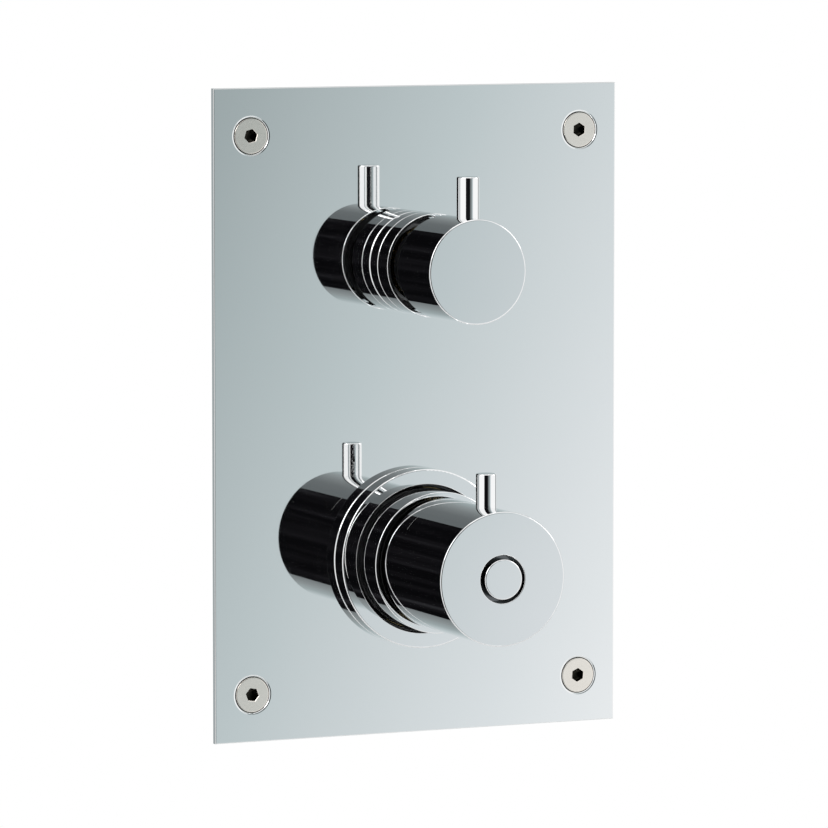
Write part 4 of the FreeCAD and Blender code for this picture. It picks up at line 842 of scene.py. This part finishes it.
plate_screws = screw_set("plate_screws_threaded", plate_screw_places, satin_nickel, plate_screw_model,
                         radius=screw_core, pitch=screw_pitch,
                         turns=(screw_reach - screw_start - screw_pitch) / screw_pitch,
                         half_thickness=screw_ridge, start=screw_start)
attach(plate_screws, "valve")
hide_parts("plate_screws")

# Chromed rings and shrouds. Turned brass, polished, nickel plated and chromed: the flange and
# the shroud of the temperature control, and the base ring and the shroud of the flow control.
# They seat on the plate by their rubber ring or their own fit.
chrome_tones = ((0.915, 0.925, 0.93), (0.94, 0.94, 0.945))
chrome_look = dict(tones=chrome_tones, roughness=0.02, sheen=(90.0, 0.01, 0.03), sheen_stretch=(1, 6, 1),
                   drift=25.0)

bright_chrome = finished("bright_chrome", **chrome_look)
dress(bright_chrome, "temperature_flange", "temperature_shroud", "flow_base_ring", "flow_shroud")

# Knobs and levers. Turned brass shells, chromed, each with a round lever pin screwed down
# through it into a moulded core. The core's glass-filled nylon is black and slightly grainy.
nylon_tones = ((0.010, 0.010, 0.011), (0.024, 0.024, 0.026))

dress(bright_chrome, "temperature_lever", "flow_knob", "flow_lever")
dress(finished("black_nylon", nylon_tones, metallic=0.0, roughness=0.45, sheen=(300.0, 0.36, 0.55),
               drift=150.0, relief=(900.0, 0.2, 0.00005)),
      "temperature_adapter", "flow_adapter", "stop_ring")

# Grub screws. Black-oxide steel with hexagon sockets, one under each knob, tightened against
# its spindle.
oxide_tones = ((0.05, 0.05, 0.052), (0.11, 0.11, 0.115))

dress(finished("black_oxide", oxide_tones, roughness=0.4, sheen=(600.0, 0.3, 0.5), drift=200.0),
      "temperature_grub_screw", "flow_grub_screw")

# Index mark. A short line engraved round the side of the temperature knob and filled with
# grey enamel. It stands at the upper left while the knob is at its stop.
mark_radius = 0.02238
mark_floor = 0.02221
mark_depth = -0.0383
mark_half_width = 0.00016
mark_angles = (128.2, 142.8)
mark_steps = 12
enamel_tones = ((0.17, 0.17, 0.165), (0.24, 0.24, 0.235))

pale_enamel = finished("pale_enamel", enamel_tones, metallic=0.0, roughness=0.4, sheen=(900.0, 0.3, 0.5),
                       drift=500.0)
shape = bmesh.new()
rows = []
for step in range(mark_steps + 1):
    angle = math.radians(mark_angles[0] + (mark_angles[1] - mark_angles[0]) * step / mark_steps)
    rows.append([shape.verts.new((reach * math.cos(angle), mark_depth + side * mark_half_width,
                                  temperature_axis + reach * math.sin(angle)))
                 for reach, side in ((mark_floor, -1), (mark_radius, -1), (mark_radius, 1), (mark_floor, 1))])
for row, following in zip(rows, rows[1:]):
    for corner in range(4):
        after = (corner + 1) % 4
        shape.faces.new((row[corner], row[after], following[after], following[corner]))
shape.faces.new(rows[0])
shape.faces.new(reversed(rows[-1]))
mark_mesh = bpy.data.meshes.new("index_mark")
shape.to_mesh(mark_mesh)
shape.free()
mark_mesh.materials.append(pale_enamel)
index_mark = add_piece("index_mark", mark_mesh)
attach(index_mark, "temperature_knob")

# Stop release. A chromed button in the face of the temperature knob, on a steel rod whose
# pawl passes the teeth of the stop ring when the button is pressed. The narrow gap round the
# button is painted dark grey as shade, on the button's side and on the wall of its hole.
gap_reach = 0.0082
gap_from = -0.07575
gap_to = -0.0600
gap_shade_tone = (0.16, 0.16, 0.165)
rod_tones = ((0.52, 0.53, 0.55), (0.66, 0.67, 0.69))
rod_stretch = (6, 1, 6)

knob_chrome = finished("knob_chrome", **chrome_look)
# Painted shade: a dark grey tone in the narrow gap round the release button.
near_button = calculate(knob_chrome, "LESS_THAN", reach_from(knob_chrome, 0, temperature_axis), gap_reach)
gap_shade_mask = calculate(knob_chrome, "MULTIPLY", near_button, depth_between(knob_chrome, gap_from, gap_to))
shadowed(knob_chrome, gap_shade_mask, gap_shade_tone)
dress(knob_chrome, "temperature_knob", "release_button")
dress(finished("ground_rod", rod_tones, roughness=0.3, sheen=(700.0, 0.22, 0.38),
               sheen_stretch=rod_stretch, drift=160.0), "release_rod")
